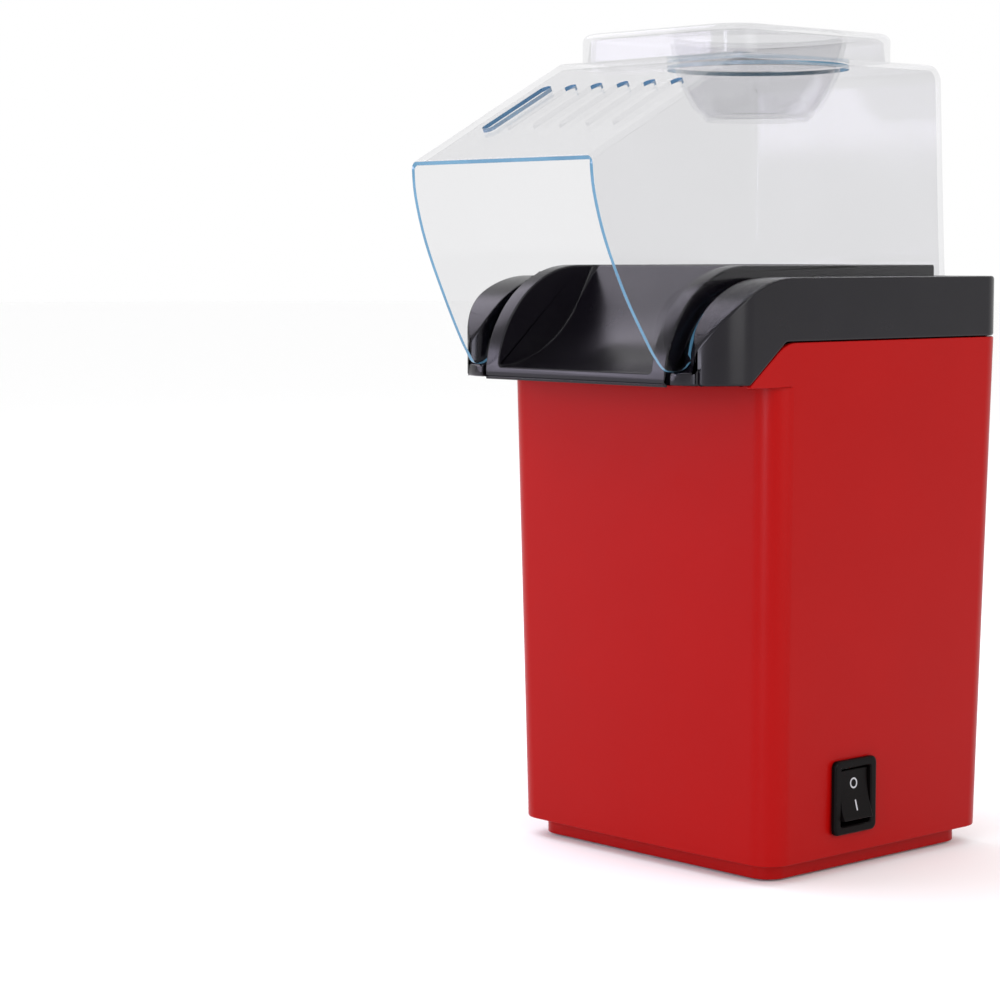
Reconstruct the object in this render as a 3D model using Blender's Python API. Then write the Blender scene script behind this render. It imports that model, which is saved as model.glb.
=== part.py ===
"""Hot-air popcorn maker, built as separate closed bodies, in metres, +Z up, standing on z = 0.

Lengths below are in millimetres, measured from the axis of the popping chamber; finish() turns each mesh
into metres, and centre_on_origin() puts the origin under the middle of the whole object. The front faces
-Y and the switch is on the +X side. A cutter, or a shape merged into another, is hidden from renders.
"""

import math

import bmesh
import bpy
from mathutils import Matrix, Vector

MM = 0.001
GAP = 0.3
EMBED = 1.0
FAR = 80.0

# Housing: a drafted box with rounded corners and a slightly bowed front.
BODY_Z0, BODY_FRONT_TOP, BODY_TOP = 6.8, 172.9, 187.4
BODY_HALF_X, BODY_HALF_Y = 67.0, 62.0
DRAFT = 3.0 / 160.0
BODY_CORNER = 10.0
FRONT_BOW = 0.8
WALL = 2.5
CHEEK_TIP, CHEEK_KNEE, CHEEK_JOIN, CHEEK_EASE = -73.5, -56.0, -48.0, 2.5

# Plinth and bottom cover.
PLINTH_Z0, PLATE_Z0, PLATE_Z1 = 0.8, 6.5, 9.3
PLINTH_HALF, PLATE_HALF = (58.0, 53.0), (60.9, 55.9)
GRILLE_SLOTS, GRILLE_PITCH, GRILLE_HALF = 9, 7.0, 30.0
FOOT_X, FOOT_Y, FOOT_R = 40.0, 42.0, 5.2

# Collar: the black top moulding, which overhangs the front in a quarter-round nose.
COLLAR_Z = 173.4
COLLAR_HALF_X, COLLAR_BACK, COLLAR_FRONT = 67.25, 62.25, -91.6
NOSE_R = 40.0
NOSE_Y = COLLAR_FRONT + NOSE_R
SHOULDER_RISE, RAIL_RISE, GROOVE_RISE, POCKET_RISE = 36.0, 40.0, 33.0, 30.5
NOSE_CORNER, BACK_CORNER = 20.0, 10.0
ISLAND_HALF_X, ISLAND_BACK = 45.0, 49.5
SLIT_HALF_X, SLIT_BACK, SLIT_DEPTH, SLIT_RISE = 46.6, 51.1, 6.8, 32.2
GROOVE_HALF_X, GROOVE_BACK, GROOVE_DEPTH = 51.8, 53.6, 6.0
GROOVE_FLARE = ((51.8, -80.0), (53.0, -86.5), (57.4, -90.2))
GROOVE_SILL = ((-128.0, 4.2), (-92.0, 4.2), (-88.2, 4.9), (-85.0, 7.0))
TROUGH_HALF_X, LIP_RISE = 38.0, 4.0
SCOOP_R, SCOOP_TURN = 46.0, 56.0
WELL_R = 38.0
DEEP, HIGH = COLLAR_Z - 20.0, COLLAR_Z + 60.0

# Hood: the clear cover that stands in the collar's groove.
HOOD_WALL, HOOD_HALF_X, HOOD_TAPER, HOOD_BACK = 2.0, 49.0, 0.0185, 53.3
ROOF_Z = COLLAR_Z + 112.5
ROOF_FOLD = -56.0
MOUTH = ((-126.4, 76.0), (-125.0, 64.0), (-120.0, 48.0), (-111.4, 30.0), (-103.0, 15.5), (-98.8, 9.2))
LOBE = ((-95.6, 5.6), (-92.0, 4.9), (-88.0, 5.7), (-84.9, 8.0))
HOOD_ROUND = 5.0
VENT_X = tuple(13.0 * k for k in (-2.5, -1.5, -0.5, 0.5, 1.5, 2.5))
VENT_WIDTH, VENT_FROM, VENT_TO = 5.0, 0.32, 0.76

# Measuring cup: a raised lid with a bowl hanging from it.
CUP_Y, BOWL_Y = -10.0, 1.5
CUP_HALF_X, CUP_HALF_Y, CUP_CORNER = 42.0, 45.0, 14.0
CUP_TOP = ROOF_Z + 10.5
CUP_WALL = 1.8
BOWL_PROFILE = ((31.0, 0.0), (29.5, -7.0), (27.0, -16.0), (22.0, -25.5), (18.0, -29.0))

# Popping chamber, duct and heater.
CHAMBER_R, CHAMBER_TOP, FLANGE_R = 37.0, 199.3, 47.0
DUCT_R, DUCT_Z0 = 45.0, 92.3
LOUVRES, LOUVRE_Z, LOUVRE_HEIGHT, LOUVRE_LEAN = 16, 152.0, 20.0, 30.0
MICA_Z0, MICA_Z1, MICA_HALF, MICA_FOOT = 94.0, 122.0, 28.6, 43.3
COIL_R, COIL_WIRE, COIL_TURNS, COIL_STEPS = 30.0, 0.9, 4, 18

# Fan, motor and the plate that carries them.
FLOOR_Z0, FLOOR_Z1, SCROLL_TOP, SCROLL_R = 66.0, 68.5, 92.0, 46.0
FAN_Z, FAN_R, FAN_BLADES = 78.0, 41.0, 8
SHAFT_R, BORE_R = 1.6, 1.9
ROTOR_R, ROTOR_POLES = 12.5, 5
MOTOR_R, MOTOR_Z0, MOTOR_Z1 = 17.5, 30.5, 65.7
BEARING_R = 4.5
POST_X, POST_Y, POST_R, POST_REACH = 50.0, 45.0, 4.2, 63.2
SCREW_R, SCREW_HEAD_R, SCREW_HEAD = 1.5, 3.2, 2.0
MOTOR_SCREW_X = 11.0

# Rocker switch in the right wall.
SWITCH_Y, SWITCH_Z = -17.0, 27.5
BEZEL_X, BEZEL_PROUD, BEZEL_HALF = 64.8, 1.8, (11.1, 13.2)
SLEEVE_HALF, SLEEVE_WALL, SLEEVE_X = (8.8, 11.1), 0.9, 54.0
ROCKER_PIVOT_X, ROCKER_HALF_Y, ROCKER_HALF_Z = 62.4, 7.6, 8.9
ROCKER_TILT = math.radians(10.0)

# Cord inlet in the back wall.
INLET_X, INLET_Z, INLET_R, INLET_HOLE_R = -38.0, 24.0, 6.5, 3.4

# Base colour, roughness, metallic and alpha of each finish.
FINISHES = {
    "red_plastic": ((0.46, 0.012, 0.01), 0.32, 0.0, 1.0),
    "black_plastic": ((0.022, 0.02, 0.026), 0.35, 0.0, 1.0),
    "clear_plastic": ((0.86, 0.92, 0.95), 0.05, 0.0, 0.35),
    "switch_plastic": ((0.012, 0.01, 0.011), 0.3, 0.0, 1.0),
    "duct_plastic": ((0.05, 0.045, 0.04), 0.6, 0.0, 1.0),
    "rubber": ((0.02, 0.02, 0.02), 0.8, 0.0, 1.0),
    "aluminium": ((0.78, 0.79, 0.8), 0.35, 1.0, 1.0),
    "steel": ((0.55, 0.55, 0.56), 0.3, 1.0, 1.0),
    "mica": ((0.55, 0.45, 0.3), 0.6, 0.0, 1.0),
    "element_wire": ((0.45, 0.42, 0.4), 0.4, 1.0, 1.0),
    "brass": ((0.75, 0.6, 0.3), 0.3, 1.0, 1.0),
    "magnet": ((0.07, 0.07, 0.075), 0.7, 0.0, 1.0),
    "circuit_board": ((0.05, 0.22, 0.1), 0.5, 0.0, 1.0),
}


# ---------------------------------------------------------------- objects and materials

def finish_material(name):
    """A Principled material, made once for each finish."""
    if name in bpy.data.materials:
        return bpy.data.materials[name]
    colour, roughness, metallic, alpha = FINISHES[name]
    material = bpy.data.materials.new(name)
    material.use_nodes = True
    shader = material.node_tree.nodes["Principled BSDF"]
    shader.inputs["Base Color"].default_value = (*colour, 1.0)
    shader.inputs["Roughness"].default_value = roughness
    shader.inputs["Metallic"].default_value = metallic
    shader.inputs["Alpha"].default_value = alpha
    return material


def place(name, data, material_name, pivot):
    """Put mesh or curve data into the scene under the assembly."""
    data.materials.append(finish_material(material_name))
    part = bpy.data.objects.new(name, data)
    part.parent = bpy.data.objects["assembly"]
    part.location = pivot * MM
    bpy.context.scene.collection.objects.link(part)
    return part


def finish(name, bm, material_name, pivot=(0.0, 0.0, 0.0)):
    """Turn a mesh in millimetres into an object in metres, with its origin on the pivot."""
    pivot = Vector(pivot)
    bmesh.ops.recalc_face_normals(bm, faces=bm.faces)
    bmesh.ops.translate(bm, verts=bm.verts, vec=-pivot)
    bmesh.ops.scale(bm, verts=bm.verts, vec=(MM, MM, MM))
    mesh = bpy.data.meshes.new(name)
    bm.to_mesh(mesh)
    bm.free()
    mesh.shade_smooth()
    mesh.set_sharp_from_angle(angle=math.radians(35))
    return place(name, mesh, material_name, pivot)


def guide(name, bm):
    """A hidden shape for a Boolean."""
    helper = finish(name, bm, "steel")
    helper.hide_render = True
    helper.display_type = "WIRE"
    return helper


def combine(part, operation, helper):
    """Add an exact Boolean to a part."""
    modifier = part.modifiers.new(helper.name, "BOOLEAN")
    modifier.object = helper
    modifier.operation = operation
    modifier.solver = "EXACT"
    return part


def cut(part, name, bm):
    """Cut a shape out of a part."""
    return combine(part, "DIFFERENCE", guide(name, bm))


def fuse(part, name, bm):
    """Merge a shape into a part."""
    return combine(part, "UNION", guide(name, bm))


# ---------------------------------------------------------------- outlines

def arc(centre, radii, start, stop, steps):
    """Points on an elliptical arc, angles in degrees."""
    angles = [math.radians(start + (stop - start) * i / steps) for i in range(steps + 1)]
    return [(centre[0] + radii[0] * math.cos(a), centre[1] + radii[1] * math.sin(a)) for a in angles]


def circle(radius, steps, centre=(0.0, 0.0)):
    """Points round a circle."""
    return arc(centre, (radius, radius), 0.0, 360.0, steps)[:-1]


def rounded(low, high, radii, steps=4, bow=0.0):
    """A rectangle with round corners: radii at the back right, back left, front left and front right."""
    (x0, y0), (x1, y1) = low, high
    spots = ((x1, y1, -1, -1), (x0, y1, 1, -1), (x0, y0, 1, 1), (x1, y0, -1, 1))
    points = []
    for k, ((x, y, right, up), radius) in enumerate(zip(spots, radii)):
        centre = (x + right * radius, y + up * radius)
        points += arc(centre, (radius, radius), 90 * k, 90 * k + 90, steps)
        if bow and k == 2:
            half = (high[0] - low[0]) / 2 - radius
            points += [(half * t, low[1] - bow * (1 - t * t)) for t in (-2 / 3, -1 / 3, 0, 1 / 3, 2 / 3)]
    return points


def centred(half, radius, steps=4, centre=(0.0, 0.0)):
    """A round-cornered rectangle about a centre."""
    low = (centre[0] - half[0], centre[1] - half[1])
    high = (centre[0] + half[0], centre[1] + half[1])
    return rounded(low, high, (radius,) * 4, steps)


def at(points, z):
    """Lift an outline to a height."""
    return [(x, y, z) for x, y in points]


# ---------------------------------------------------------------- meshes

def loft(rings, caps=True, bm=None):
    """Skin equal rings of points; without caps the last ring joins the first."""
    bm = bm or bmesh.new()
    loops = [[bm.verts.new(point) for point in ring] for ring in rings]
    pairs = list(zip(loops, loops[1:]))
    if caps:
        bm.faces.new(list(reversed(loops[0])))
        bm.faces.new(loops[-1])
    else:
        pairs.append((loops[-1], loops[0]))
    for low, high in pairs:
        for i in range(len(low)):
            j = (i + 1) % len(low)
            bm.faces.new((low[i], low[j], high[j], high[i]))
    return bm


def prism(outline, axis, low, high, bm=None):
    """A closed outline pulled along an axis: (y, z) along X, (x, z) along Y or (x, y) along Z."""
    spots = {"X": lambda a, b, c: (c, a, b), "Y": lambda a, b, c: (a, c, b), "Z": lambda a, b, c: (a, b, c)}
    return loft([[spots[axis](a, b, c) for a, b in outline] for c in (low, high)], bm=bm)


def block(low, high, bm=None):
    """A box between two corners."""
    outline = ((low[0], low[1]), (high[0], low[1]), (high[0], high[1]), (low[0], high[1]))
    return prism(outline, "Z", low[2], high[2], bm)


def cylinder(radius, low, high, steps, centre=(0.0, 0.0), bm=None):
    """A vertical cylinder."""
    return prism(circle(radius, steps, centre), "Z", low, high, bm)


def turned(profile, steps, matrix=None):
    """Spin a closed (radius, height) profile about Z; a stretch on the axis itself makes no face."""
    bm = bmesh.new()
    points = [bm.verts.new((r, 0.0, z)) for r, z in profile]
    pairs = [(a, b) for a, b in zip(points, points[1:] + points[:1]) if a.co.x + b.co.x > 0]
    edges = [bm.edges.new(pair) for pair in pairs]
    bmesh.ops.spin(bm, geom=points + edges, cent=(0, 0, 0), axis=(0, 0, 1), angle=math.tau, steps=steps)
    bmesh.ops.remove_doubles(bm, verts=bm.verts, dist=0.0005)
    if matrix:
        bm.transform(matrix)
    return bm


def ring_profile(inner, outer, low, high):
    """The closed profile of a plain ring."""
    return ((inner, low), (outer, low), (outer, high), (inner, high))


# ---------------------------------------------------------------- housing

def body_ring(z, inset=0.0):
    """The housing's outline at a height, pushed in from its outer face."""
    shrink = (COLLAR_Z - z) * DRAFT + inset
    half_x, half_y = BODY_HALF_X - shrink, BODY_HALF_Y - shrink
    outline = rounded((-half_x, -half_y), (half_x, half_y), (BODY_CORNER - inset,) * 4, bow=FRONT_BOW)
    return at(outline, z)


def cheek(side):
    """A plate that carries the side wall forward beside the collar."""
    step = 0.04
    slope = (BODY_TOP - COLLAR_Z) / (CHEEK_KNEE - CHEEK_TIP)
    outline = [(CHEEK_TIP, COLLAR_Z)]
    outline += [(CHEEK_KNEE - CHEEK_EASE, BODY_TOP - CHEEK_EASE * slope), (CHEEK_KNEE + 2.0, BODY_TOP)]
    outline += [(CHEEK_JOIN + EMBED, BODY_TOP), (CHEEK_JOIN + EMBED, COLLAR_Z)]
    rings = []
    for inset in (step, WALL - step):
        rings.append([(side * (BODY_HALF_X - inset - (COLLAR_Z - z) * DRAFT), y, z) for y, z in outline])
    return loft(rings)


def post_outline(x, y):
    """Plan of a screw post with its rib to the side wall."""
    half = 1.2
    start = math.degrees(math.asin(half / POST_R))
    side = math.copysign(1.0, x)
    reach = POST_REACH - abs(x)
    outline = arc((0, 0), (POST_R, POST_R), start, 360 - start, 14) + [(reach, -half), (reach, half)]
    return [(x + side * dx, y + dy) for dx, dy in outline]


def corners(x, y):
    """The four corner places of a rectangle."""
    return [(-x, -y), (x, -y), (x, y), (-x, y)]


def body_shell():
    """The red housing: open at both ends, low at the front, with cheeks beside the collar."""
    rings = [body_ring(BODY_Z0), body_ring(BODY_TOP), body_ring(BODY_TOP, WALL), body_ring(BODY_Z0, WALL)]
    shell = finish("body_shell", loft(rings, caps=False), "red_plastic")
    cut(shell, "body_front_cut", block((-FAR, -FAR, BODY_FRONT_TOP), (FAR, CHEEK_JOIN, BODY_TOP + 5)))
    fuse(shell, "body_cheek_left", cheek(-1))
    fuse(shell, "body_cheek_right", cheek(1))
    low, high, depth = PLATE_Z1 + 0.7, FLOOR_Z0 - GAP, 12.0
    posts, bores = bmesh.new(), bmesh.new()
    for spot in corners(POST_X, POST_Y):
        prism(post_outline(*spot), "Z", low, high, posts)
        cylinder(SCREW_R + GAP, low - EMBED, low + depth, 10, spot, bores)
        cylinder(SCREW_R + GAP, high - depth, high + EMBED, 10, spot, bores)
    fuse(shell, "body_posts", posts)
    cut(shell, "body_bores", bores)
    half_y, half_z = SLEEVE_HALF[0] + GAP, SLEEVE_HALF[1] + GAP
    near = (SLEEVE_X, SWITCH_Y - half_y, SWITCH_Z - half_z)
    cut(shell, "switch_window", block(near, (FAR, SWITCH_Y + half_y, SWITCH_Z + half_z)))
    cord_hole = prism(circle(INLET_R + GAP, 20, (INLET_X, INLET_Z)), "Y", BODY_HALF_Y - 10, FAR)
    return cut(shell, "cord_hole", cord_hole)


def base_plate():
    """Plinth and bottom cover in one moulding, hollow underneath, with the air grille and screw holes."""
    inner = (PLINTH_HALF[0] - WALL, PLINTH_HALF[1] - WALL)
    rings = [
        at(centred(inner, 5.5), PLATE_Z0 + GAP),
        at(centred(inner, 5.5), PLINTH_Z0),
        at(centred(PLINTH_HALF, 8.0), PLINTH_Z0),
        at(centred(PLINTH_HALF, 8.0), PLATE_Z0),
        at(centred(PLATE_HALF, 7.0), PLATE_Z0),
        at(centred(PLATE_HALF, 7.0), PLATE_Z1),
    ]
    plate = finish("base_plate", loft(rings), "red_plastic")
    openings = bmesh.new()
    for k in range(GRILLE_SLOTS):
        y = (k - (GRILLE_SLOTS - 1) / 2) * GRILLE_PITCH
        slot = centred((GRILLE_HALF, 1.8), 1.7, 3, (0.0, y))
        prism(slot, "Z", PLATE_Z0 - EMBED, PLATE_Z1 + EMBED, openings)
    for spot in corners(POST_X, POST_Y):
        cylinder(SCREW_R + GAP, PLATE_Z0 - EMBED, PLATE_Z1 + EMBED, 10, spot, openings)
    return cut(plate, "base_openings", openings)


def rubber_feet():
    """Four feet pressed up under the bottom cover."""
    for k, (x, y) in enumerate(corners(FOOT_X, FOOT_Y), start=1):
        profile = ((0, 0), (FOOT_R - 1, 0), (FOOT_R, 1), (FOOT_R, PLATE_Z0 - 0.1), (0, PLATE_Z0 - 0.1))
        bm = turned(profile, 16, Matrix.Translation((x, y, 0)))
        finish(f"rubber_foot_{k}", bm, "rubber", (x, y, 0))


# ---------------------------------------------------------------- collar

def nose(inset, rise, steps=9):
    """Side view of the quarter-round nose, from its foot at the front to its top."""
    points = arc((NOSE_Y, COLLAR_Z), (NOSE_R - inset, rise), 180, 90, steps)
    return [(round(y, 4), round(z, 4)) for y, z in points]


def scoop(drop=0.0):
    """Side view of the trough's floor, from the lip at the front up to the well."""
    foot = (COLLAR_FRONT - 0.4, COLLAR_Z + LIP_RISE - drop)
    points = arc((foot[0], foot[1] + SCOOP_R), (SCOOP_R, SCOOP_R), -90, -90 + SCOOP_TURN, 8)
    rise = 25.0
    end = points[-1]
    return points + [(end[0] + rise / math.tan(math.radians(SCOOP_TURN)), end[1] + rise)]


def collar_upper():
    """Side view of the collar that shows, above the housing and its cheeks."""
    back = arc((COLLAR_BACK - 6, COLLAR_Z + SHOULDER_RISE - 6), (6, 6), 90, 0, 3)
    top = BODY_TOP + GAP
    foot = [(COLLAR_BACK, top), (CHEEK_KNEE - 0.2, top), (CHEEK_TIP - 0.5, COLLAR_Z)]
    return nose(0, SHOULDER_RISE) + back + foot


def kept_under(depth, rise):
    """Side view of what stays under a cut into the nose and the top."""
    return nose(depth, rise) + [(FAR, COLLAR_Z + rise), (FAR, DEEP - 5)]


def ring_around_island(name, outer, side):
    """A cutter that follows the island on three sides and stays above a side view."""
    ring = guide(name, prism(outer, "Z", DEEP, HIGH))
    cut(ring, name + "_inside", prism(island_outline(-130), "Z", DEEP - 5, HIGH + 5))
    return cut(ring, name + "_under", prism(side, "X", -FAR, FAR))


def groove_ring():
    """The groove that the hood stands in: it flares at the front, where a sill closes its foot."""
    turn = HOOD_ROUND + GAP
    back = rounded((-GROOVE_HALF_X, 0), (GROOVE_HALF_X, GROOVE_BACK), (turn, turn, 1, 1), 5)
    flare = list(GROOVE_FLARE)
    front = [(-x, y) for x, y in reversed(flare)]
    outline = [(-flare[-1][0], -120.0), (flare[-1][0], -120.0)] + flare[::-1]
    outline += [point for point in back if point[1] > 5] + front[::-1]
    sill = [(y, COLLAR_Z + rise) for y, rise in GROOVE_SILL]
    side = [point for point in kept_under(GROOVE_DEPTH, GROOVE_RISE) if point[1] > sill[-1][1] + 0.5]
    under = sill + side + [(FAR, DEEP - 5), (sill[0][0], DEEP - 5)]
    return ring_around_island("collar_groove", outline, under)


def slit_ring():
    """The narrow gap between the island and the groove's floor, open down to the collar's foot."""
    outline = rounded((-SLIT_HALF_X, -120), (SLIT_HALF_X, SLIT_BACK), (2.9, 2.9, 1, 1), 3)
    side = kept_under(SLIT_DEPTH, SLIT_RISE)
    return ring_around_island("collar_slit", outline, side + [(side[0][0], DEEP - 5)])


def island_outline(front):
    """Plan of the raised part inside the groove."""
    return rounded((-ISLAND_HALF_X, front), (ISLAND_HALF_X, ISLAND_BACK), (1.3, 1.3, 1, 1), 2)


def collar_island():
    """The raised part inside the groove, higher than the shoulder outside it."""
    back = ISLAND_BACK + 10
    side = nose(-GAP, RAIL_RISE) + [(back, COLLAR_Z + RAIL_RISE), (back, COLLAR_Z + 0.2)]
    side[0] = (side[0][0], COLLAR_Z + 0.2)
    island = guide("collar_island", prism(side, "X", -FAR, FAR))
    plan = prism(island_outline(-110), "Z", DEEP, HIGH)
    return combine(island, "INTERSECT", guide("island_plan", plan))


def collar_pocket():
    """The hollow under the collar, which stays clear of the trough's floor."""
    inset = SLIT_DEPTH + WALL
    low, high = (-COLLAR_HALF_X + 5.2, COLLAR_FRONT + inset), (COLLAR_HALF_X - 5.2, COLLAR_BACK - 5.2)
    plan = rounded(low, high, (6, 6, 13, 13))
    pocket = guide("collar_pocket", prism(plan, "Z", DEEP, HIGH))
    back = (FAR, COLLAR_Z + POCKET_RISE)
    front = nose(inset, POCKET_RISE)
    under = front + [back, (FAR, DEEP + 5), (front[0][0], DEEP + 5)]
    combine(pocket, "INTERSECT", guide("pocket_side", prism(under, "X", -FAR, FAR)))
    floor = scoop(3.0)
    floor = [(y + 1.0, z) for y, z in floor]
    front = COLLAR_FRONT - 20
    keep = floor + [(floor[-1][0], HIGH + 20), (front, HIGH + 20), (front, floor[0][1])]
    return cut(pocket, "pocket_trough", prism(keep, "X", -TROUGH_HALF_X - WALL, TROUGH_HALF_X + WALL))


def collar():
    """The black top moulding with its nose, groove, trough and well."""
    half = COLLAR_HALF_X
    part = finish("collar", prism(collar_upper(), "X", -half - 5, half + 5), "black_plastic")
    radii = (BACK_CORNER, BACK_CORNER, NOSE_CORNER, NOSE_CORNER)
    plan = rounded((-half, COLLAR_FRONT), (half, COLLAR_BACK), radii, 6)
    combine(part, "INTERSECT", guide("collar_plan", prism(plan, "Z", DEEP, HIGH)))
    skirt_x, skirt_y = BODY_HALF_X - WALL - 0.4, BODY_HALF_Y - WALL - 0.4
    skirt = rounded((-skirt_x, CHEEK_TIP - 1.5), (skirt_x, skirt_y), (7.1, 7.1, 1, 1))
    fuse(part, "collar_skirt", prism(skirt, "Z", COLLAR_Z + 0.2, BODY_TOP + 3))
    combine(part, "UNION", collar_island())
    combine(part, "DIFFERENCE", collar_pocket())
    combine(part, "DIFFERENCE", groove_ring())
    combine(part, "DIFFERENCE", slit_ring())
    floor = scoop()
    front = floor[0][0] - 8
    trough = floor + [(floor[-1][0], HIGH), (front, HIGH), (front, floor[0][1])]
    cut(part, "collar_trough", prism(trough, "X", -TROUGH_HALF_X, TROUGH_HALF_X))
    return cut(part, "collar_well", cylinder(WELL_R, DEEP, HIGH, 36))


# ---------------------------------------------------------------- hood and cup

def hood_edge():
    """Side view of the hood: mouth, lobe, the foot in the groove, back and roof."""
    lowest = COLLAR_Z + LOBE[-1][1] + 1.0
    foot = [point for point in nose(GROOVE_DEPTH - GAP, GROOVE_RISE + GAP) if point[1] > lowest]
    low_back = (HOOD_BACK, COLLAR_Z + GROOVE_RISE + GAP)
    roof_back = arc((HOOD_BACK - 8, ROOF_Z - 6), (6, 6), 0, 90, 3)
    free = [(y, COLLAR_Z + rise) for y, rise in MOUTH + LOBE]
    return free, foot + [low_back], roof_back + [(ROOF_FOLD, ROOF_Z)]


def hood():
    """The clear hood: an open sheet of flat panels, rounded where they meet and given its wall."""
    free, foot, crown = hood_edge()
    outline = free + foot + crown
    bm = bmesh.new()
    sides = []
    for side in (-1, 1):
        lean = [side * (HOOD_HALF_X - HOOD_TAPER * (z - COLLAR_Z - LIP_RISE)) for _, z in outline]
        sides.append([bm.verts.new((x, y, z)) for x, (y, z) in zip(lean, outline)])
    left, right = sides
    first = len(free) + len(foot) - 1
    skin = list(range(first, len(outline))) + [0]
    for i, j in zip(skin, skin[1:]):
        bm.faces.new((left[i], left[j], right[j], right[i]))
    bm.faces.new(left)
    bm.faces.new(list(reversed(right)))
    bmesh.ops.recalc_face_normals(bm, faces=bm.faces)
    joined = [edge for edge in bm.edges if len(edge.link_faces) == 2]
    seams = [edge for edge in joined if edge.verts[0].co.x * edge.verts[1].co.x > 0]
    rounding = {"segments": 3, "profile": 0.5, "affect": "EDGES", "clamp_overlap": True}
    bmesh.ops.bevel(bm, geom=seams, offset=HOOD_ROUND, **rounding)
    part = finish("hood", bm, "clear_plastic")
    face_out(part)
    shell = part.modifiers.new("wall", "SOLIDIFY")
    shell.thickness = HOOD_WALL * MM
    shell.offset = -1.0
    shell.use_even_offset = True
    cut(part, "hood_vents", hood_vents())
    hole_r = BOWL_PROFILE[0][0] + CUP_WALL + 0.4
    return cut(part, "hood_cup_hole", cylinder(hole_r, ROOF_Z - 10, CUP_TOP, 32, (0, BOWL_Y)))


def face_out(part):
    """Turn an open sheet's faces away from its middle."""
    mesh = part.data
    middle = sum((v.co for v in mesh.vertices), Vector()) / len(mesh.vertices)
    outward = sum(face.area * face.normal.dot(face.center - middle) for face in mesh.polygons)
    if outward < 0:
        mesh.flip_normals()


def hood_vents():
    """Cutters for the long slots down the sloping front, square to it."""
    low, high = Vector((0, MOUTH[0][0], COLLAR_Z + MOUTH[0][1])), Vector((0, ROOF_FOLD, ROOF_Z))
    slope = math.atan2(high.z - low.z, high.y - low.y)
    length = (high - low).length * (VENT_TO - VENT_FROM)
    middle = low.lerp(high, (VENT_FROM + VENT_TO) / 2)
    bm = bmesh.new()
    for x in VENT_X:
        outline = centred((VENT_WIDTH / 2, length / 2), VENT_WIDTH / 2 - 0.2, 3, (x, 0.0))
        prism(outline, "Z", -6, 6, bm)
    bm.transform(Matrix.Translation(middle) @ Matrix.Rotation(slope, 4, "X"))
    return bm


def measuring_cup():
    """The clear cup: a raised round-cornered lid whose top runs down into a bowl."""
    turns = [math.radians(45 + (i - 3.5) * 360 / 32) for i in range(32)]

    def lid(inset, z):
        points = centred((CUP_HALF_X - inset, CUP_HALF_Y - inset), CUP_CORNER - inset, 7, (0, CUP_Y))
        return at(points, z)

    def bowl(radius, z):
        return [(radius * math.cos(t), BOWL_Y + radius * math.sin(t), z) for t in turns]

    inside = [bowl(r, CUP_TOP + depth) for r, depth in reversed(BOWL_PROFILE)]
    outside = [bowl(r + CUP_WALL, CUP_TOP + min(depth, -CUP_WALL)) for r, depth in BOWL_PROFILE[:-1]]
    last = BOWL_PROFILE[-1]
    outside.append(bowl(last[0] + 1.0, CUP_TOP + last[1] - CUP_WALL))
    over = [lid(2.2, CUP_TOP), lid(0.8, CUP_TOP - 1.6), lid(0.0, ROOF_Z + GAP)]
    under = [lid(CUP_WALL, ROOF_Z + GAP), lid(CUP_WALL + 0.9, CUP_TOP - CUP_WALL)]
    bm = loft(inside + over + under + outside)
    return finish("measuring_cup", bm, "clear_plastic", (0, BOWL_Y, ROOF_Z))


# ---------------------------------------------------------------- chamber and heater

def popping_chamber():
    """The metal chamber: a flanged cup with a domed floor and a ring of leaning louvres."""
    r, wall = CHAMBER_R, 1.0
    profile = [(0, 134), (10, 131), (24, 128), (33, 131), (r, 140)]
    profile += [(r, CHAMBER_TOP - wall), (FLANGE_R, CHAMBER_TOP - wall)]
    profile += [(FLANGE_R, CHAMBER_TOP), (r - wall, CHAMBER_TOP)]
    profile += [(r - wall, 140.3), (32.3, 131.9), (24, 129.1)]
    profile += [(10, 132.1), (0, 135.1)]
    part = finish("popping_chamber", turned(profile, 32), "aluminium")
    bm = bmesh.new()
    for k in range(LOUVRES):
        slot = block((r - 4, -0.9, -LOUVRE_HEIGHT / 2), (r + 3, 0.9, LOUVRE_HEIGHT / 2))
        lean = Matrix.Rotation(math.radians(LOUVRE_LEAN), 4, "X")
        turn = Matrix.Rotation(math.tau * (k + 0.5) / LOUVRES, 4, "Z")
        slot.transform(Matrix.Translation((0, 0, LOUVRE_Z)) @ turn @ lean)
        append(bm, slot)
    return cut(part, "chamber_louvres", bm)


def append(bm, other):
    """Add another mesh's geometry to this one."""
    scratch = bpy.data.meshes.new("scratch")
    other.to_mesh(scratch)
    other.free()
    bm.from_mesh(scratch)
    bpy.data.meshes.remove(scratch)


def chamber_parts():
    """The insulating ring over the chamber's flange, and the metal duct round the chamber."""
    ring = ring_profile(WELL_R + GAP, 44.0, CHAMBER_TOP + GAP, COLLAR_Z + POCKET_RISE - 0.4)
    finish("chamber_ring", turned(ring, 32), "duct_plastic")
    top = CHAMBER_TOP - 1.0 - GAP
    duct = [(DUCT_R - 1, DUCT_Z0), (50, DUCT_Z0), (50, DUCT_Z0 + 1)]
    duct += [(DUCT_R, DUCT_Z0 + 1), (DUCT_R, top), (DUCT_R - 1, top)]
    finish("air_duct", turned(duct, 32), "steel")


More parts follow.
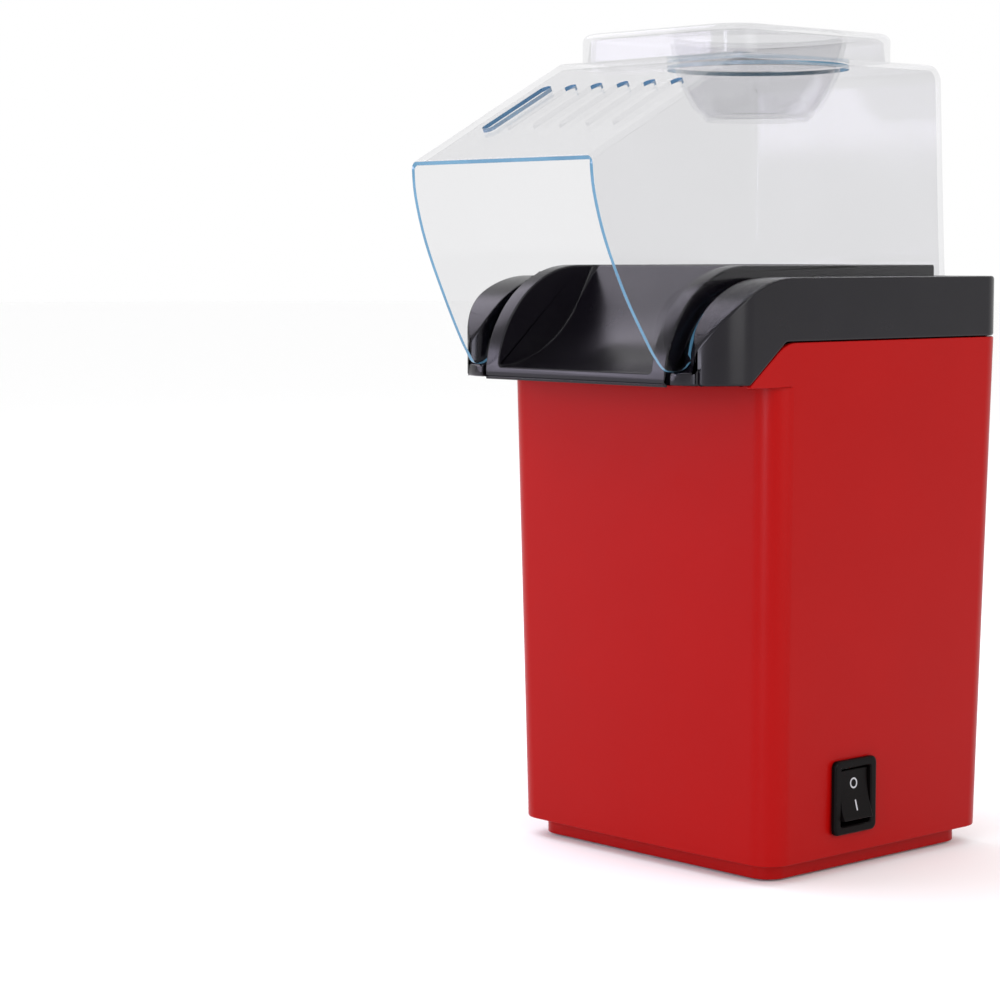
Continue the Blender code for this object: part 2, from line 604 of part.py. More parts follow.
def heater():
    """Two slotted mica boards crossed at right angles, and the wire wound round them."""
    middle = (MICA_Z0 + MICA_Z1) / 2
    shelf = MICA_Z0 + 4
    for name, axis, notch in (("mica_board_1", "Y", 1), ("mica_board_2", "X", -1)):
        right = [(0.8, MICA_Z0), (MICA_FOOT, MICA_Z0), (MICA_FOOT, shelf)]
        right += [(MICA_HALF, shelf), (MICA_HALF, MICA_Z1)]
        right += [(0.8, MICA_Z1)]
        slot = [(0.8, middle - 0.2 * notch), (-0.8, middle - 0.2 * notch)]
        left = [(-x, z) for x, z in reversed(right)]
        outline = right + slot + left if notch > 0 else right + left + list(reversed(slot))
        finish(name, prism(outline, axis, -0.5, 0.5), "mica")
    curve = bpy.data.curves.new("heater_coil", "CURVE")
    curve.dimensions = "3D"
    curve.bevel_depth = COIL_WIRE * MM
    curve.bevel_resolution = 1
    curve.use_fill_caps = True
    spline = curve.splines.new("POLY")
    count = COIL_TURNS * COIL_STEPS
    spline.points.add(count)
    for i, point in enumerate(spline.points):
        turn = math.tau * i / COIL_STEPS
        height = shelf + 3 + (MICA_Z1 - shelf - 6) * i / count
        point.co = (COIL_R * MM * math.cos(turn), COIL_R * MM * math.sin(turn), height * MM, 1)
    place("heater_coil", curve, "element_wire", Vector())


def cut_outs():
    """Thermostat and thermal fuse on the outside of the duct."""
    back = Matrix.Translation((0, DUCT_R + 0.5, 150)) @ Matrix.Rotation(math.radians(-90), 4, "X")
    profile = ((0, 0), (7.5, 0), (7.5, 4), (5.5, 6), (0, 6))
    finish("thermostat", turned(profile, 18, back), "duct_plastic")
    profile = ((0, 0), (1.7, 0), (1.7, 11), (0, 11))
    finish("thermal_fuse", turned(profile, 10, Matrix.Translation((20, DUCT_R - 1.5, 145))), "steel")


# ---------------------------------------------------------------- fan and motor

def fan_housing():
    """The plate that hangs the motor, with air windows, and the round wall about the fan."""
    plate = centred((POST_X + 6, POST_Y + 6), 6.0)
    part = finish("fan_housing", prism(plate, "Z", FLOOR_Z0, FLOOR_Z1), "duct_plastic")
    fuse(part, "fan_wall", turned(ring_profile(SCROLL_R - 2, SCROLL_R, FLOOR_Z0 + 0.5, SCROLL_TOP), 32))
    low, high = FLOOR_Z0 - EMBED, FLOOR_Z1 + EMBED
    bm = cylinder(5.2, low, high, 16)
    for k in range(4):
        start, stop = 90 * k + 8, 90 * k + 82
        window = arc((0, 0), (20, 20), start, stop, 4) + arc((0, 0), (41, 41), stop, start, 7)
        prism(window, "Z", low, high, bm)
    for spot in corners(POST_X, POST_Y) + [(MOTOR_SCREW_X, 0), (-MOTOR_SCREW_X, 0)]:
        cylinder(SCREW_R + GAP, low, high, 10, spot, bm)
    return cut(part, "fan_housing_openings", bm)


def blade(turn):
    """One fan blade: a thin twisted plate that widens towards its tip."""
    rings = []
    for radius, chord, pitch in ((5.0, 4.5, 48), (22.0, 10.0, 34), (FAN_R, 15.0, 24)):
        lean = math.radians(pitch)
        along = Vector((0, math.cos(lean), math.sin(lean))) * chord / 2
        across = Vector((0, -math.sin(lean), math.cos(lean))) * 0.6
        centre = Vector((radius, 0, FAN_Z))
        spots = ((-1, -1), (1, -1), (1, 1), (-1, 1))
        rings.append([centre + i * along + j * across for i, j in spots])
    bm = loft(rings)
    bm.transform(Matrix.Rotation(turn, 4, "Z"))
    return bm


def polar(radius, degrees):
    """One point at a radius and an angle."""
    return (radius * math.cos(math.radians(degrees)), radius * math.sin(math.radians(degrees)))


def rotor_outlines():
    """Plan of the five-pole rotor, and as many points round its bore."""
    pitch, pole, steps = 360 / ROTOR_POLES, 56, 6
    outer, inner = [], []
    for k in range(ROTOR_POLES):
        for i in range(steps + 1):
            outer.append(polar(ROTOR_R, pitch * k + pole * i / steps))
            inner.append(polar(BORE_R, pitch * k + pole * i / steps))
        for edge, inner_edge in ((pole, pole + 5), (pitch, pitch - 5)):
            outer.append(polar(ROTOR_R / 2, pitch * k + edge))
            inner.append(polar(BORE_R, pitch * k + inner_edge))
    return outer, inner


def spinning_parts():
    """Fan, shaft, nut, rotor and commutator, all on the chamber's axis."""
    shaft = ((0, 27), (SHAFT_R - 0.3, 27), (SHAFT_R, 27.5), (SHAFT_R, 89.5), (SHAFT_R - 0.3, 90), (0, 90))
    finish("motor_shaft", turned(shaft, 16), "steel")
    fan = finish("fan_impeller", turned(ring_profile(BORE_R, 7.0, 72, 84), 24), "duct_plastic")
    blades = bmesh.new()
    for k in range(FAN_BLADES):
        append(blades, blade(math.tau * k / FAN_BLADES))
    fuse(fan, "fan_blades", blades)
    outer = circle(3.7, 6)
    inner = circle(BORE_R, 6)
    rings = [at(outer, 84.4), at(outer, 87.4), at(inner, 87.4), at(inner, 84.4)]
    finish("fan_nut", loft(rings, caps=False), "brass")
    outer, inner = rotor_outlines()
    rings = [at(outer, 41), at(outer, 59), at(inner, 59), at(inner, 41)]
    finish("rotor_core", loft(rings, caps=False), "steel")
    finish("commutator", turned(ring_profile(BORE_R, 4.2, 36, 40), 16), "brass")


def still_parts():
    """Motor case, end cap, bearings, magnets and brushes."""
    r, top = MOTOR_R, MOTOR_Z1
    eye = BEARING_R + GAP
    can = ((r - 1, 34.2), (r, 34.2), (r, top), (eye, top), (eye, top - 1), (r - 1, top - 1))
    finish("motor_can", turned(can, 28), "steel")
    cap = ((eye, MOTOR_Z0), (r, MOTOR_Z0), (r, 33.8), (r - 3, 33.8), (r - 3, 32.5), (eye, 32.5))
    finish("motor_end_cap", turned(cap, 28), "duct_plastic")
    for name, low in (("bearing_top", 62.0), ("bearing_bottom", 30.6)):
        finish(name, turned(ring_profile(SHAFT_R + 0.06, BEARING_R, low, low + 3.4), 16), "brass")
    for k, start in enumerate((-60, 120), start=1):
        outline = arc((0, 0), (r - 1.4, r - 1.4), start, start + 120, 8)
        outline += arc((0, 0), (13.0, 13.0), start + 120, start, 8)
        finish(f"field_magnet_{k}", prism(outline, "Z", 40, 60), "magnet")
    for k, side in enumerate((-1, 1), start=1):
        near, far = sorted((side * 4.6, side * 10.0))
        finish(f"brush_{k}", block((near, -1.6, 36.4), (far, 1.6, 39.4)), "magnet")


def rectifier():
    """The small board under the motor with its four diodes."""
    finish("rectifier_board", block((-14, -10, 22.5), (14, 10, 24.1)), "circuit_board")
    for k, (x, y) in enumerate(corners(6, 4.5), start=1):
        spot = Matrix.Translation((x - 3.5, y, 20.7)) @ Matrix.Rotation(math.radians(90), 4, "Y")
        finish(f"diode_{k}", turned(((0, 0), (1.4, 0), (1.4, 7), (0, 7)), 10, spot), "duct_plastic")


# ---------------------------------------------------------------- screws, switch and cord inlet

def screw(name, x, y, seat, up, length):
    """A pan-head screw with a cross recess; its shank points up or down from the seat."""
    flat_r, head_r = SCREW_HEAD_R - 0.9, SCREW_HEAD_R
    head = ((0, -SCREW_HEAD), (flat_r, -SCREW_HEAD), (head_r, -SCREW_HEAD + 0.9), (head_r, 0))
    shank = ((SCREW_R, 0), (SCREW_R, length - 1), (0.5, length), (0, length))
    place_it = Matrix.Translation((x, y, seat)) @ Matrix.Scale(1 if up else -1, 4, (0, 0, 1))
    part = finish(name, turned(head + shank, 10, place_it), "steel")
    recess = bmesh.new()
    reach, half, deep = 1.8, 0.35, 1.1
    arms = ((reach, -half), (reach, half), (half, half), (half, reach), (-half, reach), (-half, half))
    arms += tuple((-a, -b) for a, b in arms)
    prism(arms, "Z", -SCREW_HEAD - 1, -SCREW_HEAD + deep, recess)
    recess.transform(place_it)
    return cut(part, f"{name}_recess", recess)


def screws():
    """Screws through the bottom cover, the fan plate and the motor's mounting."""
    for k, (x, y) in enumerate(corners(POST_X, POST_Y), start=1):
        screw(f"base_screw_{k}", x, y, PLATE_Z0, True, 13.0)
        screw(f"housing_screw_{k}", x, y, FLOOR_Z1 + GAP, False, 12.0)
    for k, x in enumerate((-MOTOR_SCREW_X, MOTOR_SCREW_X), start=1):
        screw(f"motor_screw_{k}", x, 0.0, FLOOR_Z1 + GAP, False, 3.0)


def switch():
    """Rocker switch: bezel and sleeve, case with terminals, and the rocker tilted to off."""
    def frame(x, half, radius):
        outline = centred(half, radius, 3, (SWITCH_Y, SWITCH_Z))
        return [(x, y, z) for y, z in outline]

    inner = (SLEEVE_HALF[0] - SLEEVE_WALL, SLEEVE_HALF[1] - SLEEVE_WALL)
    face = BEZEL_X + BEZEL_PROUD
    rim = (BEZEL_HALF[0] - 0.6, BEZEL_HALF[1] - 0.6)
    rings = [frame(face, inner, 0.8), frame(face, rim, 2.0), frame(face - 0.6, BEZEL_HALF, 2.6)]
    rings += [frame(BEZEL_X, BEZEL_HALF, 2.6), frame(BEZEL_X, SLEEVE_HALF, 1.0)]
    rings += [frame(SLEEVE_X, SLEEVE_HALF, 1.0), frame(SLEEVE_X, inner, 0.8)]
    finish("switch_bezel", loft(rings, caps=False), "switch_plastic")
    low = (SLEEVE_X - 14, SWITCH_Y - inner[0], SWITCH_Z - inner[1])
    high = (SLEEVE_X - GAP, SWITCH_Y + inner[0], SWITCH_Z + inner[1])
    finish("switch_case", block(low, high), "switch_plastic")
    for k, dz in enumerate((-5.0, 5.0), start=1):
        z = SWITCH_Z + dz
        bm = block((SLEEVE_X - 22, SWITCH_Y - 3.1, z - 0.4), (SLEEVE_X - 14 - GAP, SWITCH_Y + 3.1, z + 0.4))
        finish(f"switch_terminal_{k}", bm, "brass")
    return rocker()


def rocker():
    """The rocker, hollowed across its face, upper half pressed in; its origin is on its pivot."""
    reach, dish = 4.4, 1.0
    radius = (ROCKER_HALF_Z ** 2 + dish ** 2) / (2 * dish)
    half_turn = math.degrees(math.asin(ROCKER_HALF_Z / radius))
    outline = arc((reach - dish + radius, 0), (radius, radius), 180 - half_turn, 180 + half_turn, 8)
    outline += [(1.0, -ROCKER_HALF_Z), (-4.0, -6.5), (-4.0, 6.5), (1.0, ROCKER_HALF_Z)]
    bm = prism(outline, "Y", -ROCKER_HALF_Y, ROCKER_HALF_Y)
    pivot = Vector((ROCKER_PIVOT_X, SWITCH_Y, SWITCH_Z))
    bm.transform(Matrix.Translation(pivot) @ Matrix.Rotation(-ROCKER_TILT, 4, "Y"))
    return finish("switch_rocker", bm, "switch_plastic", pivot)


def cord_gland():
    """The bush that the cord comes in through, low in the back wall."""
    wall = BODY_HALF_Y - (COLLAR_Z - INLET_Z) * DRAFT
    r, hole, out = INLET_R, INLET_HOLE_R, 0.5
    brim = ((r + 2.4, out), (r + 2.4, out + 0.8), (r + 1.4, out + 1.8))
    profile = ((hole, -7), (r - 0.6, -7), (r, -6), (r, out)) + brim
    profile += ((hole, out + 1.8),)
    spot = Matrix.Translation((INLET_X, wall, INLET_Z)) @ Matrix.Rotation(math.radians(-90), 4, "X")
    return finish("cord_gland", turned(profile, 20, spot), "rubber")


# ---------------------------------------------------------------- the whole object

def centre_on_origin():
    """Move the assembly so that the origin is under the middle of everything that shows."""
    depsgraph = bpy.context.evaluated_depsgraph_get()
    points = []
    for item in bpy.context.scene.objects:
        if item.type in {"MESH", "CURVE"} and not item.hide_render:
            seen = item.evaluated_get(depsgraph)
            points += [seen.matrix_world @ vertex.co for vertex in seen.to_mesh().vertices]
            seen.to_mesh_clear()
    low = [min(point[i] for point in points) for i in range(3)]
    high = [max(point[i] for point in points) for i in range(3)]
    middle = Vector(((low[0] + high[0]) / 2, (low[1] + high[1]) / 2, low[2]))
    bpy.data.objects["assembly"].location = -middle


def main():
    """Clear the scene and build every part under one empty."""
    for item in list(bpy.data.objects):
        bpy.data.objects.remove(item, do_unlink=True)
    assembly = bpy.data.objects.new("assembly", None)
    bpy.context.scene.collection.objects.link(assembly)
    body_shell()
    base_plate()
    rubber_feet()
    collar()
    hood()
    measuring_cup()
    popping_chamber()
    chamber_parts()
    heater()
    cut_outs()
    fan_housing()
    spinning_parts()
    still_parts()
    rectifier()
    screws()
    switch()
    cord_gland()
    centre_on_origin()


main()
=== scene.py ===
"""Looks of the hot-air popcorn maker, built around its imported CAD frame.

Shapes are in millimetres from the axis of the popping chamber, +Z up, with the front facing -Y; make() turns
them into the frame's metres. Sizes come from the frame's own boxes and the few driving values below.
"""

import math

import bmesh
import bpy
from mathutils import Matrix, Vector


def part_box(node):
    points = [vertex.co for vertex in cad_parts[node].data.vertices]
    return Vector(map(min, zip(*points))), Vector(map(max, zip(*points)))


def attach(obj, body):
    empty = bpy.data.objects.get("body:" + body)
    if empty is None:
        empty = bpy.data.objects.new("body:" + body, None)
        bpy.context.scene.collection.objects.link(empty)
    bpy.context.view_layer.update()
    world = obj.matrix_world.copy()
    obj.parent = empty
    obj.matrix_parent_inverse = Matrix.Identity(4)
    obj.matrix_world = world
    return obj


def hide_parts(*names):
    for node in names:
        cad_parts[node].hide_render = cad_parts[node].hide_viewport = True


MM = 0.001

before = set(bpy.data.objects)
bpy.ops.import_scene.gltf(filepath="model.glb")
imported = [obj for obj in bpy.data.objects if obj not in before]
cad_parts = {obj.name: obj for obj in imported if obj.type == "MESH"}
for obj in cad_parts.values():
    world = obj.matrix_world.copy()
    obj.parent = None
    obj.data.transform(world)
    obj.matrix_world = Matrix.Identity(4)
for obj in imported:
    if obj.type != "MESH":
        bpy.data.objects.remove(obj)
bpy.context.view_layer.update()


def node_box(name):
    """A CAD node's lowest and highest corner in millimetres from the chamber's axis."""
    return tuple((corner - AXIS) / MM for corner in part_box(name))


def chamber_axis():
    """The point of the chamber's axis that lies on the ground."""
    low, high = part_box("popping_chamber")
    return Vector(((low.x + high.x) / 2, (low.y + high.y) / 2, 0.0))


AXIS = chamber_axis()
TO_FRAME = Matrix.Translation(AXIS) @ Matrix.Scale(MM, 4)
FAR = 90.0
GAP = 0.3
EASE = 0.8
SMOOTH_BELOW = math.radians(40)
BOW_STEPS = 14

# Housing.
BODY_LOW, BODY_HIGH = node_box("body_shell")
BODY_Z0, BODY_TOP = BODY_LOW.z, BODY_HIGH.z
BODY_HALF_X, BODY_HALF_Y = 67.0, 62.0
BODY_FRONT_TOP = BODY_TOP - 14.5
COLLAR_Z = BODY_FRONT_TOP + 0.5
DRAFT = 3.0 / 160.0
BODY_CORNER, FRONT_BOW, WALL = 10.0, 0.8, 2.5
CHEEK_TIP, CHEEK_KNEE, CHEEK_JOIN = -73.5, -56.0, -48.0
POST_X, POST_Y, POST_R, POST_TOP = 50.0, 45.0, 4.2, COLLAR_Z - 108.0
RIB_WIDTH = 2.4

# Plinth and bottom cover.
PLATE_LOW, PLATE_HIGH = node_box("base_plate")
PLINTH_Z0, PLATE_Z0, PLATE_Z1 = PLATE_LOW.z, PLATE_HIGH.z - 2.8, PLATE_HIGH.z
PLINTH_HALF, PLATE_HALF = (58.0, 53.0), (60.9, 55.9)
PLINTH_INNER_CORNER, PLINTH_CORNER, PLATE_CORNER = 5.5, 8.0, 7.0
GRILLE_SLOTS, GRILLE_PITCH, GRILLE_HALF = 9, 7.0, 30.0
SLOT_HALF, SCREW_HOLE_R = 1.8, 1.8

# Collar.
COLLAR_LOW, COLLAR_HIGH = node_box("collar")
COLLAR_HALF_X, COLLAR_BACK, COLLAR_FRONT = COLLAR_HIGH.x, COLLAR_HIGH.y, COLLAR_LOW.y
NOSE_R = 40.0
NOSE_Y = COLLAR_FRONT + NOSE_R
SHOULDER_RISE, RAIL_RISE, GROOVE_RISE, POCKET_RISE = 36.0, 40.0, 33.0, 30.5
NOSE_CORNER, BACK_CORNER = 20.0, 10.0
ISLAND_HALF_X, ISLAND_BACK = 45.0, 49.5
SLIT_HALF_X, SLIT_BACK, SLIT_DEPTH, SLIT_RISE = 46.6, 51.1, 6.8, 32.2
GROOVE_HALF_X, GROOVE_BACK, GROOVE_DEPTH = 51.8, 53.6, 6.0
GROOVE_FLARE = ((51.8, -80.0), (53.0, -86.5), (57.4, -90.2))
GROOVE_SILL = ((-128.0, 4.2), (-92.0, 4.2), (-88.2, 4.9), (-85.0, 7.0))
SEAM_X, SEAM_Y, SEAM_WIDTH = 57.3, -88.0, 0.45
DEEP, HIGH = COLLAR_Z - 20.0, COLLAR_Z + 60.0
TROUGH_HALF_X, TROUGH_ROUND, LIP_RISE = 38.0, 3.5, 4.0
SCOOP_R, SCOOP_TURN = 46.0, 56.0
WELL_R = 38.0
SKIRT_GAP = 0.4

# Hood.
HOOD_HIGH = node_box("hood")[1]
ROOF_Z, HOOD_BACK = HOOD_HIGH.z, HOOD_HIGH.y
HOOD_WALL, HOOD_HALF_X, HOOD_TAPER, HOOD_FLARE, HOOD_ROUND = 2.0, 48.4, 0.02, 2.4, 6.5
ROOF_FOLD = -56.0
MOUTH = ((-126.4, 76.0), (-125.0, 64.0), (-120.0, 48.0), (-111.4, 30.0), (-103.0, 15.5), (-98.8, 9.2))
LOBE = ((-95.6, 5.6), (-92.0, 4.9), (-88.0, 5.7), (-84.9, 8.0))
MOUTH_PINCH, PINCH_AHEAD, PINCH_LENGTH, PINCH_RISE, PINCH_HEIGHT = 1.5, 75.0, 50.0, 2.0, 30.0
FLARE_FROM, FLARE_LENGTH, FLARE_RISE, FLARE_FADE = -100.0, 14.0, 6.0, 12.0
GRID_Y, GRID_Z, GRID_STEPS = (-120.0, 50.0), (COLLAR_Z + 10.0, ROOF_Z - 8.0), 14
VENT_X = tuple(13.0 * k for k in (-2.5, -1.5, -0.5, 0.5, 1.5, 2.5))
VENT_WIDTH, VENT_FROM, VENT_TO = 5.0, 0.32, 0.76

# Measuring cup.
CUP_Y, BOWL_Y = -10.0, 1.5
CUP_HALF_X, CUP_HALF_Y, CUP_CORNER = 42.0, 45.0, 14.0
CUP_TOP = node_box("measuring_cup")[1].z
CUP_WALL, CUP_EASE, CUP_STEPS, CUP_HOLE_GAP = 1.8, 3.0, 96, 2.2
BOWL_PROFILE = ((31.0, 0.0), (29.5, -7.0), (27.0, -16.0), (22.0, -25.5), (18.0, -29.0))

# Rocker switch.
SWITCH_Y, SWITCH_Z = -17.0, 27.5
BEZEL_X, BEZEL_PROUD, BEZEL_HALF = 64.8, 1.8, (11.1, 13.2)
BEZEL_CORNER, BEZEL_EASE, SLEEVE_CORNER, SLEEVE_INNER_CORNER = 2.2, 0.8, 1.0, 0.8
CHAMFER, CHAMFER_CORNER = 0.4, 1.2
SLEEVE_HALF, SLEEVE_WALL, SLEEVE_X = (8.8, 11.1), 0.9, 54.0
ROCKER_PIVOT_X, ROCKER_HALF_Y, ROCKER_HALF_Z = 62.4, 7.6, 8.9
ROCKER_TILT = math.radians(10.0)
ROCKER_REACH, ROCKER_DISH = 4.4, 1.0
ROCKER_SIDE_X, ROCKER_BACK_X, ROCKER_BACK_HALF = 1.0, -4.0, 6.5
SIGN_Z, RING_R, RING_INNER_R, BAR_HALF = 3.9, 1.9, 1.35, (0.3, 1.9)
PRINT_SUNK, PRINT_PROUD = -0.2, 0.05

# Cord inlet.
INLET_X, INLET_Z, INLET_R = -38.0, 24.0, 6.5

# Surroundings, in metres. Each lamp has its place, its width and height, its watts and its colour.
FLOOR_R = 12.0
WORLD_LIGHT = 1.0
LAMP_TARGET = (0.0, 0.0, 0.15)
LAMPS = {
    "strip": ((0.45, -1.45, 0.28), (0.3, 0.7), 9.0, (0.85, 0.84, 1.0)),
    "front": ((-1.35, -1.45, 0.52), (0.9, 0.55), 12.0, (0.84, 0.78, 1.0)),
    "left": ((-1.15, -0.2, 1.3), (1.0, 1.0), 11.0, (0.9, 0.84, 1.0)),
    "right": ((1.7, 0.1, 0.7), (1.0, 1.2), 12.0, (1.0, 1.0, 1.0)),
}
CAMERA_PLACE = (0.6885, -0.7184, 0.2169)
CAMERA_DROP, CAMERA_TURN = 5.09, 47.8
CAMERA_SENSOR, CAMERA_LENS = 36.0, 99.0


# ---------------------------------------------------------------- outlines

def arc(centre, radii, start, stop, steps):
    """Points along an ellipse between two angles in degrees."""
    turns = [math.radians(start + (stop - start) * i / steps) for i in range(steps + 1)]
    return [(centre[0] + radii[0] * math.cos(t), centre[1] + radii[1] * math.sin(t)) for t in turns]


def circle(radius, steps, centre=(0.0, 0.0)):
    """A closed ring of points."""
    return arc(centre, (radius, radius), 0, 360, steps)[:-1]


def rounded(low, high, radii, steps=10, bow=0.0):
    """A rectangle with rounded corners, counter-clockwise from the front left, its front bowed outwards."""
    spots = (
        (low[0], low[1], 1, 1, 180), (high[0], low[1], -1, 1, 270),
        (high[0], high[1], -1, -1, 0), (low[0], high[1], 1, -1, 90),
    )
    points = []
    for (x, y, sx, sy, start), radius in zip(spots, radii):
        points += arc((x + sx * radius, y + sy * radius), (radius, radius), start, start + 90, steps)
        if start == 180 and bow:
            half = (high[0] - low[0]) / 2 - radius
            middle = (low[0] + high[0]) / 2
            spread = [half * (2 * k / BOW_STEPS - 1) for k in range(1, BOW_STEPS)]
            points += [(middle + d, low[1] - bow * (1 - (d / half) ** 2)) for d in spread]
    return points


def centred(half, radius, centre=(0.0, 0.0), steps=8):
    """A rounded rectangle about a centre."""
    low = (centre[0] - half[0], centre[1] - half[1])
    high = (centre[0] + half[0], centre[1] + half[1])
    return rounded(low, high, (radius,) * 4, steps)


def at(outline, z):
    """An outline lifted to a height."""
    return [(x, y, z) for x, y in outline]


def spline(points, steps):
    """A smooth Catmull-Rom curve through a few points."""
    ends = [2 * Vector(points[0]) - Vector(points[1])] + [Vector(p) for p in points]
    ends.append(2 * Vector(points[-1]) - Vector(points[-2]))
    curve = []
    for a, b, c, d in zip(ends, ends[1:], ends[2:], ends[3:]):
        for i in range(steps):
            t = i / steps
            curve.append(0.5 * (2 * b + (c - a) * t + (2 * a - 5 * b + 4 * c - d) * t**2
                                + (3 * b - a - 3 * c + d) * t**3))
    return [tuple(p) for p in curve] + [tuple(points[-1])]


# ---------------------------------------------------------------- solids

def loft(rings, caps=True, bm=None):
    """Skin equal rings of points; without caps the last ring joins the first."""
    bm = bm or bmesh.new()
    loops = [[bm.verts.new(point) for point in ring] for ring in rings]
    pairs = list(zip(loops, loops[1:]))
    if caps:
        bm.faces.new(list(reversed(loops[0])))
        bm.faces.new(loops[-1])
    else:
        pairs.append((loops[-1], loops[0]))
    for low, high in pairs:
        for i in range(len(low)):
            j = (i + 1) % len(low)
            bm.faces.new((low[i], low[j], high[j], high[i]))
    return bm


def prism(outline, axis, low, high, bm=None):
    """A closed outline pulled along an axis: (y, z) along X, (x, z) along Y or (x, y) along Z."""
    spots = {"X": lambda a, b, c: (c, a, b), "Y": lambda a, b, c: (a, c, b), "Z": lambda a, b, c: (a, b, c)}
    return loft([[spots[axis](a, b, c) for a, b in outline] for c in (low, high)], bm=bm)


def block(low, high, bm=None):
    """A box between two corners."""
    outline = ((low[0], low[1]), (high[0], low[1]), (high[0], high[1]), (low[0], high[1]))
    return prism(outline, "Z", low[2], high[2], bm)


def with_modifier(bm, kind, **settings):
    """The mesh that a modifier makes of this one, which it uses up."""
    bmesh.ops.recalc_face_normals(bm, faces=bm.faces)
    mesh = bpy.data.meshes.new("work")
    bm.to_mesh(mesh)
    bm.free()
    return applied(mesh, kind, settings)


def applied(mesh, kind, settings):
    """Run one modifier on a mesh and give the result as a bmesh."""
    holder = bpy.data.objects.new("work", mesh)
    bpy.context.scene.collection.objects.link(holder)
    modifier = holder.modifiers.new("work", kind)
    for key, value in settings.items():
        setattr(modifier, key, value)
    result = bmesh.new()
    graph = bpy.context.evaluated_depsgraph_get()
    result.from_object(holder, graph)
    bpy.data.objects.remove(holder)
    bpy.data.meshes.remove(mesh)
    return result


def boolean(operation, bm, *tools):
    """Combine a solid with others by exact Booleans; faces keep their material number."""
    for tool in tools:
        bmesh.ops.recalc_face_normals(tool, faces=tool.faces)
        mesh = bpy.data.meshes.new("tool")
        tool.to_mesh(mesh)
        tool.free()
        helper = bpy.data.objects.new("tool", mesh)
        bpy.context.scene.collection.objects.link(helper)
        bm = with_modifier(
            bm, "BOOLEAN", object=helper, operation=operation, solver="EXACT", material_mode="INDEX")
        bpy.data.objects.remove(helper)
        bpy.data.meshes.remove(mesh)
    return bm


def soften(bm, width, angle=28.0, segments=2, keep=None):
    """Round the sharp edges, or those that keep() picks."""
    bmesh.ops.remove_doubles(bm, verts=bm.verts, dist=0.01)
    bmesh.ops.dissolve_degenerate(bm, edges=bm.edges, dist=0.01)
    limit = math.radians(angle)
    inner = [e for e in bm.edges if len(e.link_faces) == 2]
    edges = [e for e in inner if e.calc_face_angle() > limit and (not keep or keep(e))]
    bmesh.ops.bevel(
        bm, geom=edges, offset=width, segments=segments, profile=0.5, affect="EDGES", clamp_overlap=False,
        miter_outer="ARC", miter_inner="SHARP", loop_slide=True)
    return bm


def make(name, bm, body, slot, nodes, *materials):
    """Put a finished shape into the frame in place of CAD nodes."""
    bmesh.ops.recalc_face_normals(bm, faces=bm.faces)
    bm.transform(TO_FRAME)
    mesh = bpy.data.meshes.new(name)
    bm.to_mesh(mesh)
    bm.free()
    mesh.shade_smooth()
    mesh.set_sharp_from_angle(angle=SMOOTH_BELOW)
    for material in materials:
        mesh.materials.append(material)
    piece = bpy.data.objects.new(name, mesh)
    bpy.context.scene.collection.objects.link(piece)
    piece.modifiers.new("flat faces stay flat", "WEIGHTED_NORMAL").keep_sharp = True
    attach(piece, body)
    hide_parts(*nodes)


# ---------------------------------------------------------------- materials

# Moulded finishes: dark and light shade, roughness, grain features in a metre, grain depth in metres
# and, where it is not the usual one, specular level.
MOULDED = {
    "red_plastic": ((0.265, 0.001, 0.0008), (0.29, 0.0014, 0.0011), 0.32, 420.0, 0.0000015, 0.09),
    "black_plastic": ((0.003, 0.0024, 0.004), (0.0055, 0.0045, 0.007), 0.24, 380.0, 0.0000015, 0.24),
    "switch_plastic": ((0.002, 0.0015, 0.0015), (0.0035, 0.0025, 0.0025), 0.34, 900.0, 0.000002, 0.06),
    "duct_plastic": ((0.045, 0.04, 0.035), (0.06, 0.055, 0.05), 0.6, 600.0, 0.00003),
    "rubber": ((0.012, 0.012, 0.012), (0.022, 0.022, 0.022), 0.8, 700.0, 0.00004),
    "magnet": ((0.06, 0.06, 0.065), (0.085, 0.085, 0.09), 0.7, 900.0, 0.00004),
    "mica": ((0.42, 0.33, 0.2), (0.6, 0.5, 0.34), 0.5, 500.0, 0.00004),
    "circuit_board": ((0.04, 0.19, 0.08), (0.06, 0.25, 0.12), 0.45, 900.0, 0.00002),
    "white_mark": ((0.34, 0.34, 0.36), (0.42, 0.42, 0.44), 0.5, 900.0, 0.000002),
}

# Metals: dark and light shade, roughness, and how close the marks lie along each axis.
METALS = {
    "aluminium": ((0.68, 0.69, 0.7), (0.82, 0.83, 0.84), 0.34, (1.0, 1.0, 0.05)),
    "steel": ((0.46, 0.46, 0.47), (0.62, 0.62, 0.63), 0.3, (1.0, 1.0, 0.1)),
    "element_wire": ((0.34, 0.31, 0.29), (0.5, 0.46, 0.43), 0.42, (0.4, 0.4, 1.0)),
    "brass": ((0.66, 0.5, 0.22), (0.8, 0.64, 0.33), 0.3, (0.1, 1.0, 1.0)),
}

# Clear sheet: two near tints, roughness, and how much it mirrors face on and at its edges.
CLEAR = {"clear_plastic": ((0.915, 0.915, 0.92), (0.93, 0.93, 0.935), 0.08, 0.012, 0.5)}
EDGE_BLEND, EDGE_POWER = 0.5, 4.0

# Its cut edges: dark and light shade. The second row is a darker copy of the first, painted shade for the
# first vent slot and the upper ends of all slots.
EDGES = {
    "clear_edge": ((0.045, 0.14, 0.23), (0.10, 0.25, 0.35)),
    "painted_shade_edge": ((0.03, 0.09, 0.19), (0.07, 0.19, 0.30)),
}

# Features in a metre of the slow changes in tone, gloss and tint, and of the marks on metal.
TONE_SCALE, GLOSS_SCALE, TINT_SCALE, MARK_SCALE = 28.0, 70.0, 18.0, 900.0
MARK_DEPTH = 0.000006


